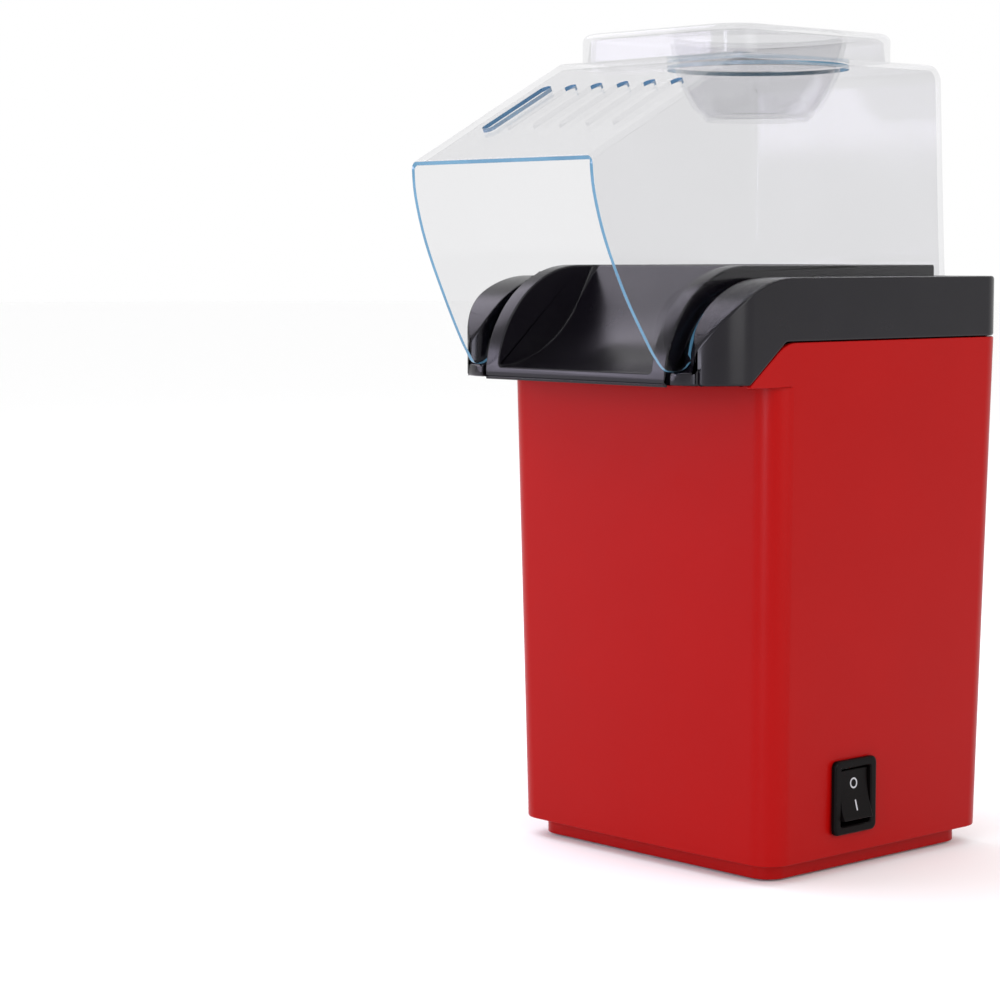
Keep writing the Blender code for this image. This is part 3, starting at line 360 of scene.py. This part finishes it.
def new_material(name, colour, roughness, metallic=0.0):
    """A Principled material with its node tree and shader."""
    material = bpy.data.materials.new(name)
    material.use_nodes = True
    tree = material.node_tree
    shader = tree.nodes["Principled BSDF"]
    shader.inputs["Base Color"].default_value = (*colour, 1.0)
    shader.inputs["Roughness"].default_value = roughness
    shader.inputs["Metallic"].default_value = metallic
    return material, tree, shader


def noise(tree, scale, detail=3.0, stretch=(1.0, 1.0, 1.0)):
    """Noise in the piece's own space; scale counts features in a metre."""
    place = tree.nodes.new("ShaderNodeTexCoord")
    mapping = tree.nodes.new("ShaderNodeMapping")
    mapping.inputs["Scale"].default_value = stretch
    texture = tree.nodes.new("ShaderNodeTexNoise")
    texture.inputs["Scale"].default_value = scale
    texture.inputs["Detail"].default_value = detail
    tree.links.new(place.outputs["Object"], mapping.inputs["Vector"])
    tree.links.new(mapping.outputs["Vector"], texture.inputs["Vector"])
    return texture.outputs["Fac"]


def vary_colour(tree, socket, fac, first, second):
    """Colour that drifts between two near shades."""
    mix = tree.nodes.new("ShaderNodeMix")
    mix.data_type = "RGBA"
    mix.inputs["A"].default_value = (*first, 1.0)
    mix.inputs["B"].default_value = (*second, 1.0)
    tree.links.new(fac, mix.inputs["Factor"])
    tree.links.new(mix.outputs["Result"], socket)


def vary_roughness(tree, shader, fac, low, high):
    """Roughness that follows a noise between two values."""
    spread = tree.nodes.new("ShaderNodeMapRange")
    spread.inputs["From Min"].default_value = 0.3
    spread.inputs["From Max"].default_value = 0.7
    spread.inputs["To Min"].default_value = low
    spread.inputs["To Max"].default_value = high
    tree.links.new(fac, spread.inputs["Value"])
    tree.links.new(spread.outputs["Result"], shader.inputs["Roughness"])


def bump(tree, shader, fac, depth):
    """A fine relief of a given depth in metres."""
    relief = tree.nodes.new("ShaderNodeBump")
    relief.inputs["Strength"].default_value = 1.0
    relief.inputs["Distance"].default_value = depth
    tree.links.new(fac, relief.inputs["Height"])
    tree.links.new(relief.outputs["Normal"], shader.inputs["Normal"])


def moulded(name, dark, light, roughness, grain, depth, specular=0.4):
    """Moulded plastic or rubber: cloudy tone, uneven gloss and a fine grain."""
    material, tree, shader = new_material(name, light, roughness)
    vary_colour(tree, shader.inputs["Base Color"], noise(tree, TONE_SCALE, 4.0), dark, light)
    vary_roughness(tree, shader, noise(tree, GLOSS_SCALE, 5.0), roughness * 0.88, roughness * 1.15)
    bump(tree, shader, noise(tree, grain, 2.0), depth)
    shader.inputs["Specular IOR Level"].default_value = specular
    return material


def metal(name, dark, light, roughness, stretch):
    """Metal with drawn or turned marks along one direction."""
    material, tree, shader = new_material(name, light, roughness, 1.0)
    marks = noise(tree, MARK_SCALE, 4.0, stretch)
    vary_colour(tree, shader.inputs["Base Color"], marks, dark, light)
    vary_roughness(tree, shader, marks, roughness * 0.75, roughness * 1.35)
    bump(tree, shader, marks, MARK_DEPTH)
    return material


def mirror_share(tree, face, edge):
    """How much of the light a clear sheet mirrors: little face on, more at its edges."""
    facing = tree.nodes.new("ShaderNodeLayerWeight")
    facing.inputs["Blend"].default_value = EDGE_BLEND
    power = tree.nodes.new("ShaderNodeMath")
    power.operation = "POWER"
    power.inputs[1].default_value = EDGE_POWER
    share = tree.nodes.new("ShaderNodeMath")
    share.operation = "MULTIPLY_ADD"
    share.inputs[1].default_value = edge
    share.inputs[2].default_value = face
    tree.links.new(facing.outputs["Facing"], power.inputs[0])
    tree.links.new(power.outputs["Value"], share.inputs[0])
    return share.outputs["Value"]


def clear(name, near, far, roughness, face, edge):
    """Clear plastic: a tinted sheet that mirrors more at its edges, with a trace of moulding flow."""
    material, tree, shader = new_material(name, near, roughness)
    tree.nodes.remove(shader)
    through = tree.nodes.new("ShaderNodeBsdfTransparent")
    vary_colour(tree, through.inputs["Color"], noise(tree, TINT_SCALE, 2.0), near, far)
    gloss = tree.nodes.new("ShaderNodeBsdfAnisotropic")
    gloss.inputs["Color"].default_value = (1.0, 1.0, 1.0, 1.0)
    vary_roughness(tree, gloss, noise(tree, 30.0, 2.0), roughness * 0.8, roughness * 1.3)
    mix = tree.nodes.new("ShaderNodeMixShader")
    tree.links.new(mirror_share(tree, face, edge), mix.inputs["Fac"])
    tree.links.new(through.outputs["BSDF"], mix.inputs[1])
    tree.links.new(gloss.outputs["BSDF"], mix.inputs[2])
    tree.links.new(mix.outputs["Shader"], tree.nodes["Material Output"].inputs["Surface"])
    return material


def tinted_edge(name, dark, light):
    """The cut edge of clear sheet, which gathers a blue tint; its darker copy is painted shade."""
    material, tree, shader = new_material(name, light, 0.15)
    vary_colour(tree, shader.inputs["Base Color"], noise(tree, 60.0, 2.0), dark, light)
    vary_roughness(tree, shader, noise(tree, 90.0, 2.0), 0.1, 0.2)
    return material


def all_materials():
    """One material for each finish in the record, and a few for details."""
    makers = ((moulded, MOULDED), (metal, METALS), (clear, CLEAR), (tinted_edge, EDGES))
    return {name: maker(name, *look) for maker, looks in makers for name, look in looks.items()}


def dress_cad_nodes(materials):
    """Give every CAD node that stays in view the detailed material of its slot."""
    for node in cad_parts.values():
        for place in node.material_slots:
            name = place.material.name.split(".")[0] if place.material else ""
            if name in materials and place.material != materials[name]:
                place.material = materials[name]


# ---------------------------------------------------------------- housing

def body_outline(z, inset=0.0):
    """The housing's outline at a height, pushed in from its outer face."""
    shrink = (COLLAR_Z - z) * DRAFT + inset
    half_x, half_y = BODY_HALF_X - shrink, BODY_HALF_Y - shrink
    return at(rounded((-half_x, -half_y), (half_x, half_y), (BODY_CORNER - inset,) * 4, 12, FRONT_BOW), z)


def cheek(side):
    """The plate that carries the side wall forward beside the collar, with a rounded top corner."""
    step, reach = 0.004, 5.0
    slope = Vector((CHEEK_KNEE - CHEEK_TIP, BODY_TOP - COLLAR_Z)).normalized()
    knee = Vector((CHEEK_KNEE, BODY_TOP))
    start, end = knee - slope * reach, knee + Vector((reach, 0.0))
    bend = [start.lerp(knee, t).lerp(knee.lerp(end, t), t) for t in (k / 8 for k in range(9))]
    foot = BODY_FRONT_TOP - 0.5
    outline = [(CHEEK_TIP, foot), (CHEEK_TIP, COLLAR_Z)] + [tuple(p) for p in bend]
    outline += [(CHEEK_JOIN + 1.0, BODY_TOP), (CHEEK_JOIN + 1.0, foot)]

    def face(inset):
        return [(side * (BODY_HALF_X - inset - (COLLAR_Z - z) * DRAFT), y, z) for y, z in outline]

    return loft([face(step), face(WALL - step)])


def corners(x, y):
    """The four corner places of a rectangle."""
    return [(-x, -y), (x, -y), (x, y), (-x, y)]


def screw_posts():
    """The four posts inside the housing that take its screws, each with a rib to the side wall."""
    posts = bmesh.new()
    foot = PLATE_Z1 + 0.7
    for x, y in corners(POST_X, POST_Y):
        prism(circle(POST_R, 24, (x, y)), "Z", foot, POST_TOP, posts)
        side = math.copysign(1.0, x)
        ends = sorted((x + side * (POST_R - 0.5), side * (BODY_HALF_X - WALL - 1.5)))
        block((ends[0], y - RIB_WIDTH / 2, foot), (ends[1], y + RIB_WIDTH / 2, POST_TOP), posts)
    return posts


def housing(materials):
    """The red housing, its edges eased, with the switch window and the cord hole."""
    rings = [
        body_outline(BODY_Z0), body_outline(BODY_TOP),
        body_outline(BODY_TOP, WALL), body_outline(BODY_Z0, WALL),
    ]
    bm = loft(rings, caps=False)
    half_y, half_z = SLEEVE_HALF[0] + GAP, SLEEVE_HALF[1] + GAP
    bm = boolean("DIFFERENCE", bm, block((-FAR, -FAR, BODY_FRONT_TOP), (FAR, CHEEK_JOIN, BODY_TOP + 5)))
    bm = boolean("UNION", bm, cheek(-1), cheek(1))
    bm = boolean(
        "DIFFERENCE", bm,
        block((SLEEVE_X, SWITCH_Y - half_y, SWITCH_Z - half_z), (FAR, SWITCH_Y + half_y, SWITCH_Z + half_z)),
        prism(circle(INLET_R + GAP, 48, (INLET_X, INLET_Z)), "Y", BODY_HALF_Y - 10, FAR))
    soften(bm, 0.5)
    posts = screw_posts()
    mesh = bpy.data.meshes.new("posts")
    posts.to_mesh(mesh)
    posts.free()
    bm.from_mesh(mesh)
    bpy.data.meshes.remove(mesh)
    make("housing_shell", bm, "housing", "red_plastic", ["body_shell"], materials["red_plastic"])


def bottom_cover(materials):
    """Plinth and bottom cover in one moulding, with its grille and screw holes."""
    inner = (PLINTH_HALF[0] - WALL, PLINTH_HALF[1] - WALL)
    rings = [
        at(centred(inner, PLINTH_INNER_CORNER), PLATE_Z0 + GAP),
        at(centred(inner, PLINTH_INNER_CORNER), PLINTH_Z0),
        at(centred(PLINTH_HALF, PLINTH_CORNER), PLINTH_Z0),
        at(centred(PLINTH_HALF, PLINTH_CORNER), PLATE_Z0),
        at(centred(PLATE_HALF, PLATE_CORNER), PLATE_Z0),
        at(centred(PLATE_HALF, PLATE_CORNER), PLATE_Z1),
    ]
    cuts = bmesh.new()
    for k in range(GRILLE_SLOTS):
        y = (k - (GRILLE_SLOTS - 1) / 2) * GRILLE_PITCH
        slot = centred((GRILLE_HALF, SLOT_HALF), 1.79, (0.0, y), 6)
        prism(slot, "Z", PLATE_Z0 - 1, PLATE_Z1 + 1, cuts)
    for spot in corners(POST_X, POST_Y):
        prism(circle(SCREW_HOLE_R, 24, spot), "Z", PLATE_Z0 - 1, PLATE_Z1 + 1, cuts)
    bm = soften(boolean("DIFFERENCE", loft(rings), cuts), 0.4)
    make("bottom_cover", bm, "housing", "red_plastic", ["base_plate"], materials["red_plastic"])


# ---------------------------------------------------------------- collar

def nose(inset, rise, steps=30):
    """Side view of the quarter-round nose, from its foot at the front to its top."""
    return arc((NOSE_Y, COLLAR_Z), (NOSE_R - inset, rise), 180, 90, steps)


def scoop(drop=0.0):
    """Side view of the trough's floor, from the lip at the front up to the well."""
    foot = (COLLAR_FRONT - 0.4, COLLAR_Z + LIP_RISE - drop)
    points = arc((foot[0], foot[1] + SCOOP_R), (SCOOP_R, SCOOP_R), -90, -90 + SCOOP_TURN, 26)
    rise, end = 25.0, points[-1]
    return points + [(end[0] + rise / math.tan(math.radians(SCOOP_TURN)), end[1] + rise)]


def collar_side():
    """Side view of the collar that shows, above the housing and its cheeks."""
    back = arc((COLLAR_BACK - 6, COLLAR_Z + SHOULDER_RISE - 6), (6, 6), 90, 0, 8)
    top = BODY_TOP + GAP
    foot = [(COLLAR_BACK, top), (CHEEK_KNEE - 0.2, top), (CHEEK_TIP - 0.5, COLLAR_Z)]
    return nose(0, SHOULDER_RISE) + back + foot


def island_plan(front):
    """Plan of the raised part inside the groove."""
    return rounded((-ISLAND_HALF_X, front), (ISLAND_HALF_X, ISLAND_BACK), (1.3, 1.3, 1.3, 1.3), 3)


def around_island(outer, side):
    """A cutter that follows the island on three sides and stays above a side view."""
    return boolean(
        "DIFFERENCE", prism(outer, "Z", DEEP, HIGH), prism(island_plan(-130), "Z", DEEP - 5, HIGH + 5),
        prism(side, "X", -FAR, FAR))


def kept_under(depth, rise):
    """Side view of what stays under a cut into the nose and the top."""
    return nose(depth, rise) + [(FAR, COLLAR_Z + rise), (FAR, DEEP - 5)]


def groove():
    """The groove that the hood stands in: it flares at the front, where a sill closes its foot."""
    turn = HOOD_ROUND + GAP
    back = rounded((-GROOVE_HALF_X, 0), (GROOVE_HALF_X, GROOVE_BACK), (1, 1, turn, turn), 8)
    flare = [p[:2] for p in spline(GROOVE_FLARE, 6)]
    outline = [(-flare[-1][0], -120.0), (flare[-1][0], -120.0)] + flare[::-1]
    outline += [p for p in back if p[1] > 5] + [(-x, y) for x, y in flare]
    sill = [(y, COLLAR_Z + rise) for y, rise in GROOVE_SILL]
    side = [p for p in kept_under(GROOVE_DEPTH, GROOVE_RISE) if p[1] > sill[-1][1] + 0.5]
    return around_island(outline, sill + side + [(sill[0][0], DEEP - 5)])


def slit():
    """The narrow gap between the island and the groove's floor, open down to the collar's foot."""
    outline = rounded((-SLIT_HALF_X, -120), (SLIT_HALF_X, SLIT_BACK), (1, 1, 2.9, 2.9), 4)
    side = kept_under(SLIT_DEPTH, SLIT_RISE)
    return around_island(outline, side + [(side[0][0], DEEP - 5)])


def seams():
    """Fine parting lines beside the groove's foot."""
    bm = bmesh.new()
    top = COLLAR_Z + GROOVE_SILL[0][1] + 1
    for x in (-SEAM_X, SEAM_X):
        block((x - SEAM_WIDTH / 2, -120, DEEP), (x + SEAM_WIDTH / 2, SEAM_Y, top), bm)
    return bm


def trough():
    """Cutter for the trough, with rounded corners where its floor meets its walls."""
    floor = scoop()
    front = floor[0][0] - 8
    outline = [(front, floor[0][1])] + floor + [(floor[-1][0], HIGH), (front, HIGH)]
    bm = prism(outline, "X", -TROUGH_HALF_X, TROUGH_HALF_X)
    lengthwise = [e for e in bm.edges if e.verts[0].co.x == e.verts[1].co.x]
    low = [e for e in lengthwise if max(v.co.z for v in e.verts) < HIGH - 1]
    bmesh.ops.bevel(
        bm, geom=low, offset=TROUGH_ROUND, segments=5, profile=0.5, affect="EDGES", clamp_overlap=False)
    return bm


def island():
    """The raised part inside the groove, higher than the shoulder outside it."""
    back = ISLAND_BACK + 10
    side = nose(-GAP, RAIL_RISE) + [(back, COLLAR_Z + RAIL_RISE), (back, COLLAR_Z + 0.2)]
    side[0] = (side[0][0], COLLAR_Z + 0.2)
    return boolean("INTERSECT", prism(side, "X", -FAR, FAR), prism(island_plan(-110), "Z", DEEP, HIGH))


def pocket():
    """The hollow under the collar, which stays clear of the trough's floor."""
    inset = SLIT_DEPTH + WALL
    low, high = (-COLLAR_HALF_X + 5.2, COLLAR_FRONT + inset), (COLLAR_HALF_X - 5.2, COLLAR_BACK - 5.2)
    plan = prism(rounded(low, high, (13, 13, 6, 6)), "Z", DEEP, HIGH)
    front = nose(inset, POCKET_RISE)
    under = front + [(FAR, COLLAR_Z + POCKET_RISE), (FAR, DEEP + 5), (front[0][0], DEEP + 5)]
    floor = [(y + 1.0, z) for y, z in scoop(3.0)]
    start = COLLAR_FRONT - 20
    keep = floor + [(floor[-1][0], HIGH + 20), (start, HIGH + 20), (start, floor[0][1])]
    hollow = boolean("INTERSECT", plan, prism(under, "X", -FAR, FAR))
    return boolean("DIFFERENCE", hollow, prism(keep, "X", -TROUGH_HALF_X - WALL, TROUGH_HALF_X + WALL))


def collar(materials):
    """The black top moulding: nose, shoulder, groove, raised island, trough and well."""
    plan = rounded(
        (-COLLAR_HALF_X, COLLAR_FRONT), (COLLAR_HALF_X, COLLAR_BACK),
        (NOSE_CORNER, NOSE_CORNER, BACK_CORNER, BACK_CORNER), 16)
    skirt_x, skirt_y = BODY_HALF_X - WALL - SKIRT_GAP, BODY_HALF_Y - WALL - SKIRT_GAP
    skirt = rounded((-skirt_x, CHEEK_TIP - 1.5), (skirt_x, skirt_y), (1, 1, 7.1, 7.1), 6)
    bm = prism(collar_side(), "X", -COLLAR_HALF_X - 5, COLLAR_HALF_X + 5)
    bm = boolean("INTERSECT", bm, prism(plan, "Z", DEEP, HIGH))
    bm = boolean("UNION", bm, prism(skirt, "Z", COLLAR_Z + 0.2, BODY_TOP + 3), island())
    well = prism(circle(WELL_R, 96), "Z", DEEP, HIGH)
    bm = boolean("DIFFERENCE", bm, pocket(), groove(), slit(), seams(), trough(), well)
    soften(bm, EASE)
    make("collar_moulding", bm, "housing", "black_plastic", ["collar"], materials["black_plastic"])


# ---------------------------------------------------------------- hood and cup

def hood_lines():
    """Side view of the hood: its free edge, the foot in the groove, and the back and roof."""
    lowest = COLLAR_Z + LOBE[-1][1] + 1.0
    foot = [p for p in nose(GROOVE_DEPTH - GAP, GROOVE_RISE + GAP, 24) if p[1] > lowest]
    roof_back = arc((HOOD_BACK - 8, ROOF_Z - 6), (6, 6), 0, 90, 8)
    free = [(y, COLLAR_Z + rise) for y, rise in spline(MOUTH + LOBE, 4)]
    return free, foot + [(HOOD_BACK, COLLAR_Z + GROOVE_RISE + GAP)], roof_back + [(ROOF_FOLD, ROOF_Z)]


def hood_half(y, z):
    """Half the hood's width at a place: it flares at the foot and narrows towards the mouth."""
    rise = z - COLLAR_Z
    pinch = MOUTH_PINCH * eased((-y - PINCH_AHEAD) / PINCH_LENGTH) * eased((rise - PINCH_RISE) / PINCH_HEIGHT)
    fade = math.exp(-max(rise - FLARE_RISE, 0.0) / FLARE_FADE)
    flare = HOOD_FLARE * eased((y - FLARE_FROM) / FLARE_LENGTH) * fade
    return HOOD_HALF_X - HOOD_TAPER * rise + flare - pinch


def eased(t):
    """A smooth step from 0 to 1."""
    t = min(max(t, 0.0), 1.0)
    return t * t * (3 - 2 * t)


def hood_sheet():
    """The hood's outer skin with sharp folds, open at the mouth and the foot."""
    free, foot, crown = hood_lines()
    outline = free + foot + crown
    bm = bmesh.new()
    left, right = [[bm.verts.new((side * HOOD_HALF_X, y, z)) for y, z in outline] for side in (-1, 1)]
    first = len(free) + len(foot) - 1
    skin = list(range(first, len(outline))) + [0]
    for i, j in zip(skin, skin[1:]):
        bm.faces.new((left[i], left[j], right[j], right[i]))
    bm.faces.new(left)
    bm.faces.new(list(reversed(right)))
    bmesh.ops.recalc_face_normals(bm, faces=bm.faces)
    return bm


def cut_grid(bm):
    """Cut a skin along even planes, so that it can follow a changing width."""
    for axis, (low, high) in ((1, GRID_Y), (2, GRID_Z)):
        for k in range(GRID_STEPS + 1):
            spot, normal = Vector((0, 0, 0)), Vector((0, 0, 0))
            spot[axis], normal[axis] = low + (high - low) * k / GRID_STEPS, 1.0
            geometry = list(bm.verts) + list(bm.edges) + list(bm.faces)
            bmesh.ops.bisect_plane(bm, geom=geometry, dist=0.001, plane_co=spot, plane_no=normal)


def face_out(bm):
    """Turn an open skin's faces away from its middle."""
    middle = sum((v.co for v in bm.verts), Vector()) / len(bm.verts)
    bm.normal_update()
    if sum(f.calc_area() * f.normal.dot(f.calc_center_median() - middle) for f in bm.faces) < 0:
        bmesh.ops.reverse_faces(bm, faces=bm.faces)


def hood_skin():
    """The hood's outer skin at its true width, with rounded folds and an even grid."""
    bm = hood_sheet()
    folds = [e for e in bm.edges if len(e.link_faces) == 2 and e.verts[0].co.x * e.verts[1].co.x > 0]
    bmesh.ops.bevel(
        bm, geom=folds, offset=HOOD_ROUND, segments=8, profile=0.5, affect="EDGES", clamp_overlap=True)
    cut_grid(bm)
    for vert in bm.verts:
        vert.co.x *= hood_half(vert.co.y, vert.co.z) / HOOD_HALF_X
    face_out(bm)
    return bm


def vents():
    """Cutters for the long slots down the sloping front, square to it.

    The first slot and the upper ends of all get the darker edge colour, as painted shade.
    """
    low = Vector((0, MOUTH[0][0], COLLAR_Z + MOUTH[0][1]))
    high = Vector((0, ROOF_FOLD, ROOF_Z))
    slope = math.atan2(high.z - low.z, high.y - low.y)
    length = (high - low).length * (VENT_TO - VENT_FROM)
    bm = bmesh.new()
    for x in VENT_X:
        prism(centred((VENT_WIDTH / 2, length / 2), VENT_WIDTH / 2 - 0.05, (x, 0.0), 8), "Z", -6, 6, bm)
    for face in bm.faces:
        middle = face.calc_center_median()
        # Painted shade: the first slot and the upper ends of all slots take the darker edge colour.
        in_painted_shade = middle.x < VENT_X[0] + VENT_WIDTH or middle.y > length / 2 - VENT_WIDTH / 2
        face.material_index = 2 if in_painted_shade else 0
    middle = low.lerp(high, (VENT_FROM + VENT_TO) / 2)
    bm.transform(Matrix.Translation(middle) @ Matrix.Rotation(slope, 4, "X"))
    return bm


def as_edge(bm):
    """Mark a cutter's faces as the tinted edge of a clear sheet."""
    for face in bm.faces:
        face.material_index = 1
    return bm


def between_finishes(edge):
    """True where two finishes meet."""
    return edge.link_faces[0].material_index != edge.link_faces[1].material_index


def hood(materials):
    """The clear hood: a sheet with tinted rims, vents and a hole for the cup."""
    mesh = bpy.data.meshes.new("skin")
    skin = hood_skin()
    skin.to_mesh(mesh)
    skin.free()
    # The third finish is the darker edge colour, painted shade for the vent slots.
    finishes = [materials[name] for name in ("clear_plastic", "clear_edge", "painted_shade_edge")]
    for finish in finishes:
        mesh.materials.append(finish)
    bm = applied(mesh, "SOLIDIFY", {
        "thickness": HOOD_WALL, "offset": -1.0, "use_even_offset": True, "material_offset_rim": 1})
    hole = prism(circle(BOWL_PROFILE[0][0] + CUP_HOLE_GAP, 96, (0, BOWL_Y)), "Z", ROOF_Z - 10, CUP_TOP)
    bm = boolean("DIFFERENCE", bm, vents(), as_edge(hole))
    soften(bm, 0.3, 40.0, 2, between_finishes)
    make("clear_hood", bm, "hood", "clear_plastic", ["hood"], *finishes)


def lid_ring(inset, z):
    """The cup lid's outline at a height, pushed in from its outer side."""
    half = (CUP_HALF_X - inset, CUP_HALF_Y - inset)
    return at(centred(half, CUP_CORNER - inset, (0, CUP_Y), CUP_STEPS // 4 - 1), z)


def bowl_ring(radius, z):
    """A ring of the cup's bowl, with as many points as the lid's outline."""
    turns = [math.radians(180 + i * 360 / CUP_STEPS) for i in range(CUP_STEPS)]
    return [(radius * math.cos(t), BOWL_Y + radius * math.sin(t), z) for t in turns]


def crown_ring(turn):
    """One ring of the lid's rounded upper edge."""
    return lid_ring(CUP_EASE - CUP_EASE * math.sin(turn), CUP_TOP - CUP_EASE + CUP_EASE * math.cos(turn))


def cup(materials):
    """The clear measuring cup: a raised round-cornered lid whose top runs down into a bowl."""
    profile = spline(BOWL_PROFILE, 4)
    inside = [bowl_ring(r, CUP_TOP + depth) for r, depth in reversed(profile)]
    outside = [bowl_ring(r + CUP_WALL, CUP_TOP + min(depth, -CUP_WALL)) for r, depth in profile[:-1]]
    outside.append(bowl_ring(profile[-1][0] + 1.0, CUP_TOP + profile[-1][1] - CUP_WALL))
    over = [crown_ring(math.radians(15 * k)) for k in range(7)] + [lid_ring(0.0, ROOF_Z + GAP)]
    under = [
        lid_ring(CUP_WALL, ROOF_Z + GAP), lid_ring(CUP_WALL + 0.9, CUP_TOP - CUP_WALL - 1.0),
        lid_ring(CUP_WALL + 3.0, CUP_TOP - CUP_WALL),
    ]
    bm = loft(inside + over + under + outside)
    make("clear_cup", bm, "cup", "clear_plastic", ["measuring_cup"], materials["clear_plastic"])


# ---------------------------------------------------------------- switch

def switch_ring(x, half, radius):
    """A rounded ring around the switch's middle."""
    return [(x, y, z) for y, z in centred(half, radius, (SWITCH_Y, SWITCH_Z), 6)]


def bezel_ring(turn):
    """One ring of the bezel's rounded outer edge."""
    half = [h - BEZEL_EASE * (1 - math.sin(turn)) for h in BEZEL_HALF]
    return switch_ring(BEZEL_X + BEZEL_PROUD - BEZEL_EASE * (1 - math.cos(turn)), half, BEZEL_CORNER)


def switch_frame(materials):
    """The bezel around the rocker and its sleeve through the wall."""
    inner = (SLEEVE_HALF[0] - SLEEVE_WALL, SLEEVE_HALF[1] - SLEEVE_WALL)
    face = BEZEL_X + BEZEL_PROUD
    rings = [
        switch_ring(face - CHAMFER, inner, SLEEVE_INNER_CORNER),
        switch_ring(face, [h + CHAMFER for h in inner], CHAMFER_CORNER),
    ]
    rings += [bezel_ring(math.radians(22.5 * k)) for k in range(5)]
    rings += [
        switch_ring(BEZEL_X, BEZEL_HALF, BEZEL_CORNER), switch_ring(BEZEL_X, SLEEVE_HALF, SLEEVE_CORNER),
        switch_ring(SLEEVE_X, SLEEVE_HALF, SLEEVE_CORNER), switch_ring(SLEEVE_X, inner, SLEEVE_INNER_CORNER),
    ]
    bm = loft(rings, caps=False)
    make("switch_frame", bm, "housing", "switch_plastic", ["switch_bezel"], materials["switch_plastic"])


def rocker_face():
    """How far the rocker's hollow face stands from its pivot: its nearest reach and its radius."""
    return ROCKER_REACH - ROCKER_DISH, (ROCKER_HALF_Z**2 + ROCKER_DISH**2) / (2 * ROCKER_DISH)


def rocker_surface(z):
    """Where the rocker's face is at a height from its pivot."""
    near, radius = rocker_face()
    return near + radius - math.sqrt(radius**2 - z**2)


def rocker_place():
    """From the rocker's own space to millimetres from the chamber's axis."""
    pivot = Vector((ROCKER_PIVOT_X, SWITCH_Y, SWITCH_Z))
    return Matrix.Translation(pivot) @ Matrix.Rotation(-ROCKER_TILT, 4, "Y")


def rocker(materials):
    """The rocker, hollowed across its face, with eased edges."""
    near, radius = rocker_face()
    half_turn = math.degrees(math.asin(ROCKER_HALF_Z / radius))
    outline = arc((near + radius, 0), (radius, radius), 180 - half_turn, 180 + half_turn, 20)
    outline += [
        (ROCKER_SIDE_X, -ROCKER_HALF_Z), (ROCKER_BACK_X, -ROCKER_BACK_HALF),
        (ROCKER_BACK_X, ROCKER_BACK_HALF), (ROCKER_SIDE_X, ROCKER_HALF_Z),
    ]
    bm = soften(prism(outline, "Y", -ROCKER_HALF_Y, ROCKER_HALF_Y), 0.5, segments=3)
    bm.transform(rocker_place())
    make("rocker_cap", bm, "rocker", "switch_plastic", ["switch_rocker"], materials["switch_plastic"])


def mark(outer, inner, bm):
    """A thin raised print on the rocker's face: a ring when inner is given, or a patch."""
    def layer(outline, lift):
        return [(rocker_surface(z) + lift, y, z) for y, z in outline]

    outside = [layer(outer, PRINT_PROUD), layer(outer, PRINT_SUNK)]
    if inner:
        loft([layer(inner, PRINT_SUNK), layer(inner, PRINT_PROUD)] + outside, False, bm)
    else:
        loft(outside[::-1], bm=bm)


def rocker_marks(materials):
    """The on and off signs of the rocker: a ring above and a bar below."""
    bm = bmesh.new()
    mark(circle(RING_R, 32, (0.0, SIGN_Z)), circle(RING_INNER_R, 32, (0.0, SIGN_Z)), bm)
    mark(centred(BAR_HALF, 0.15, (0.0, -SIGN_Z), 2), None, bm)
    bm.transform(rocker_place())
    make("rocker_signs", bm, "rocker", "switch_plastic", [], materials["white_mark"])


# ---------------------------------------------------------------- stage, light and camera

def plain(name, colour, roughness):
    """A plain material for what stands around the object."""
    return new_material(name, colour, roughness)[0]


def stage():
    """A wide pale floor."""
    bm = bmesh.new()
    bmesh.ops.create_circle(bm, cap_ends=True, radius=FLOOR_R, segments=64)
    mesh = bpy.data.meshes.new("floor")
    bm.to_mesh(mesh)
    bm.free()
    mesh.materials.append(plain("floor", (0.98, 0.98, 0.98), 0.9))
    floor = bpy.data.objects.new("floor", mesh)
    bpy.context.scene.collection.objects.link(floor)


def lamp(name, place, size, power, colour):
    """A soft rectangular lamp that faces the object and is not seen itself."""
    data = bpy.data.lights.new(name, "AREA")
    data.shape = "RECTANGLE"
    data.size, data.size_y = size
    data.energy = power
    data.color = colour
    light = bpy.data.objects.new(name, data)
    light.location = place
    light.visible_camera = False
    light.rotation_euler = (Vector(LAMP_TARGET) - Vector(place)).to_track_quat("-Z", "Y").to_euler()
    bpy.context.scene.collection.objects.link(light)


def surround():
    """A plain white world."""
    world = bpy.data.worlds.new("studio")
    world.use_nodes = True
    background = world.node_tree.nodes["Background"]
    background.inputs["Strength"].default_value = WORLD_LIGHT
    background.inputs["Color"].default_value = (1.0, 1.0, 1.0, 1.0)
    bpy.context.scene.world = world


def lights():
    """Soft studio light: a strip in front, a low lamp front left, a high one left and a broad one right."""
    surround()
    for name, look in LAMPS.items():
        lamp(name, *look)


def plain_colours():
    """Show colours as they are, without a film curve."""
    bpy.context.scene.view_settings.view_transform = "Standard"


def camera():
    """The camera off the front right corner, three quarters of the way up, looking slightly down."""
    data = bpy.data.cameras.new("camera")
    data.sensor_width = CAMERA_SENSOR
    data.lens = CAMERA_LENS
    view = bpy.data.objects.new("camera", data)
    view.location = CAMERA_PLACE
    view.rotation_euler = (math.radians(90.0 - CAMERA_DROP), 0.0, math.radians(CAMERA_TURN))
    bpy.context.scene.collection.objects.link(view)
    bpy.context.scene.camera = view


def main():
    """Build the looks in the frame."""
    materials = all_materials()
    dress_cad_nodes(materials)
    housing(materials)
    bottom_cover(materials)
    collar(materials)
    hood(materials)
    cup(materials)
    switch_frame(materials)
    rocker(materials)
    rocker_marks(materials)
    stage()
    lights()
    plain_colours()
    camera()


main()
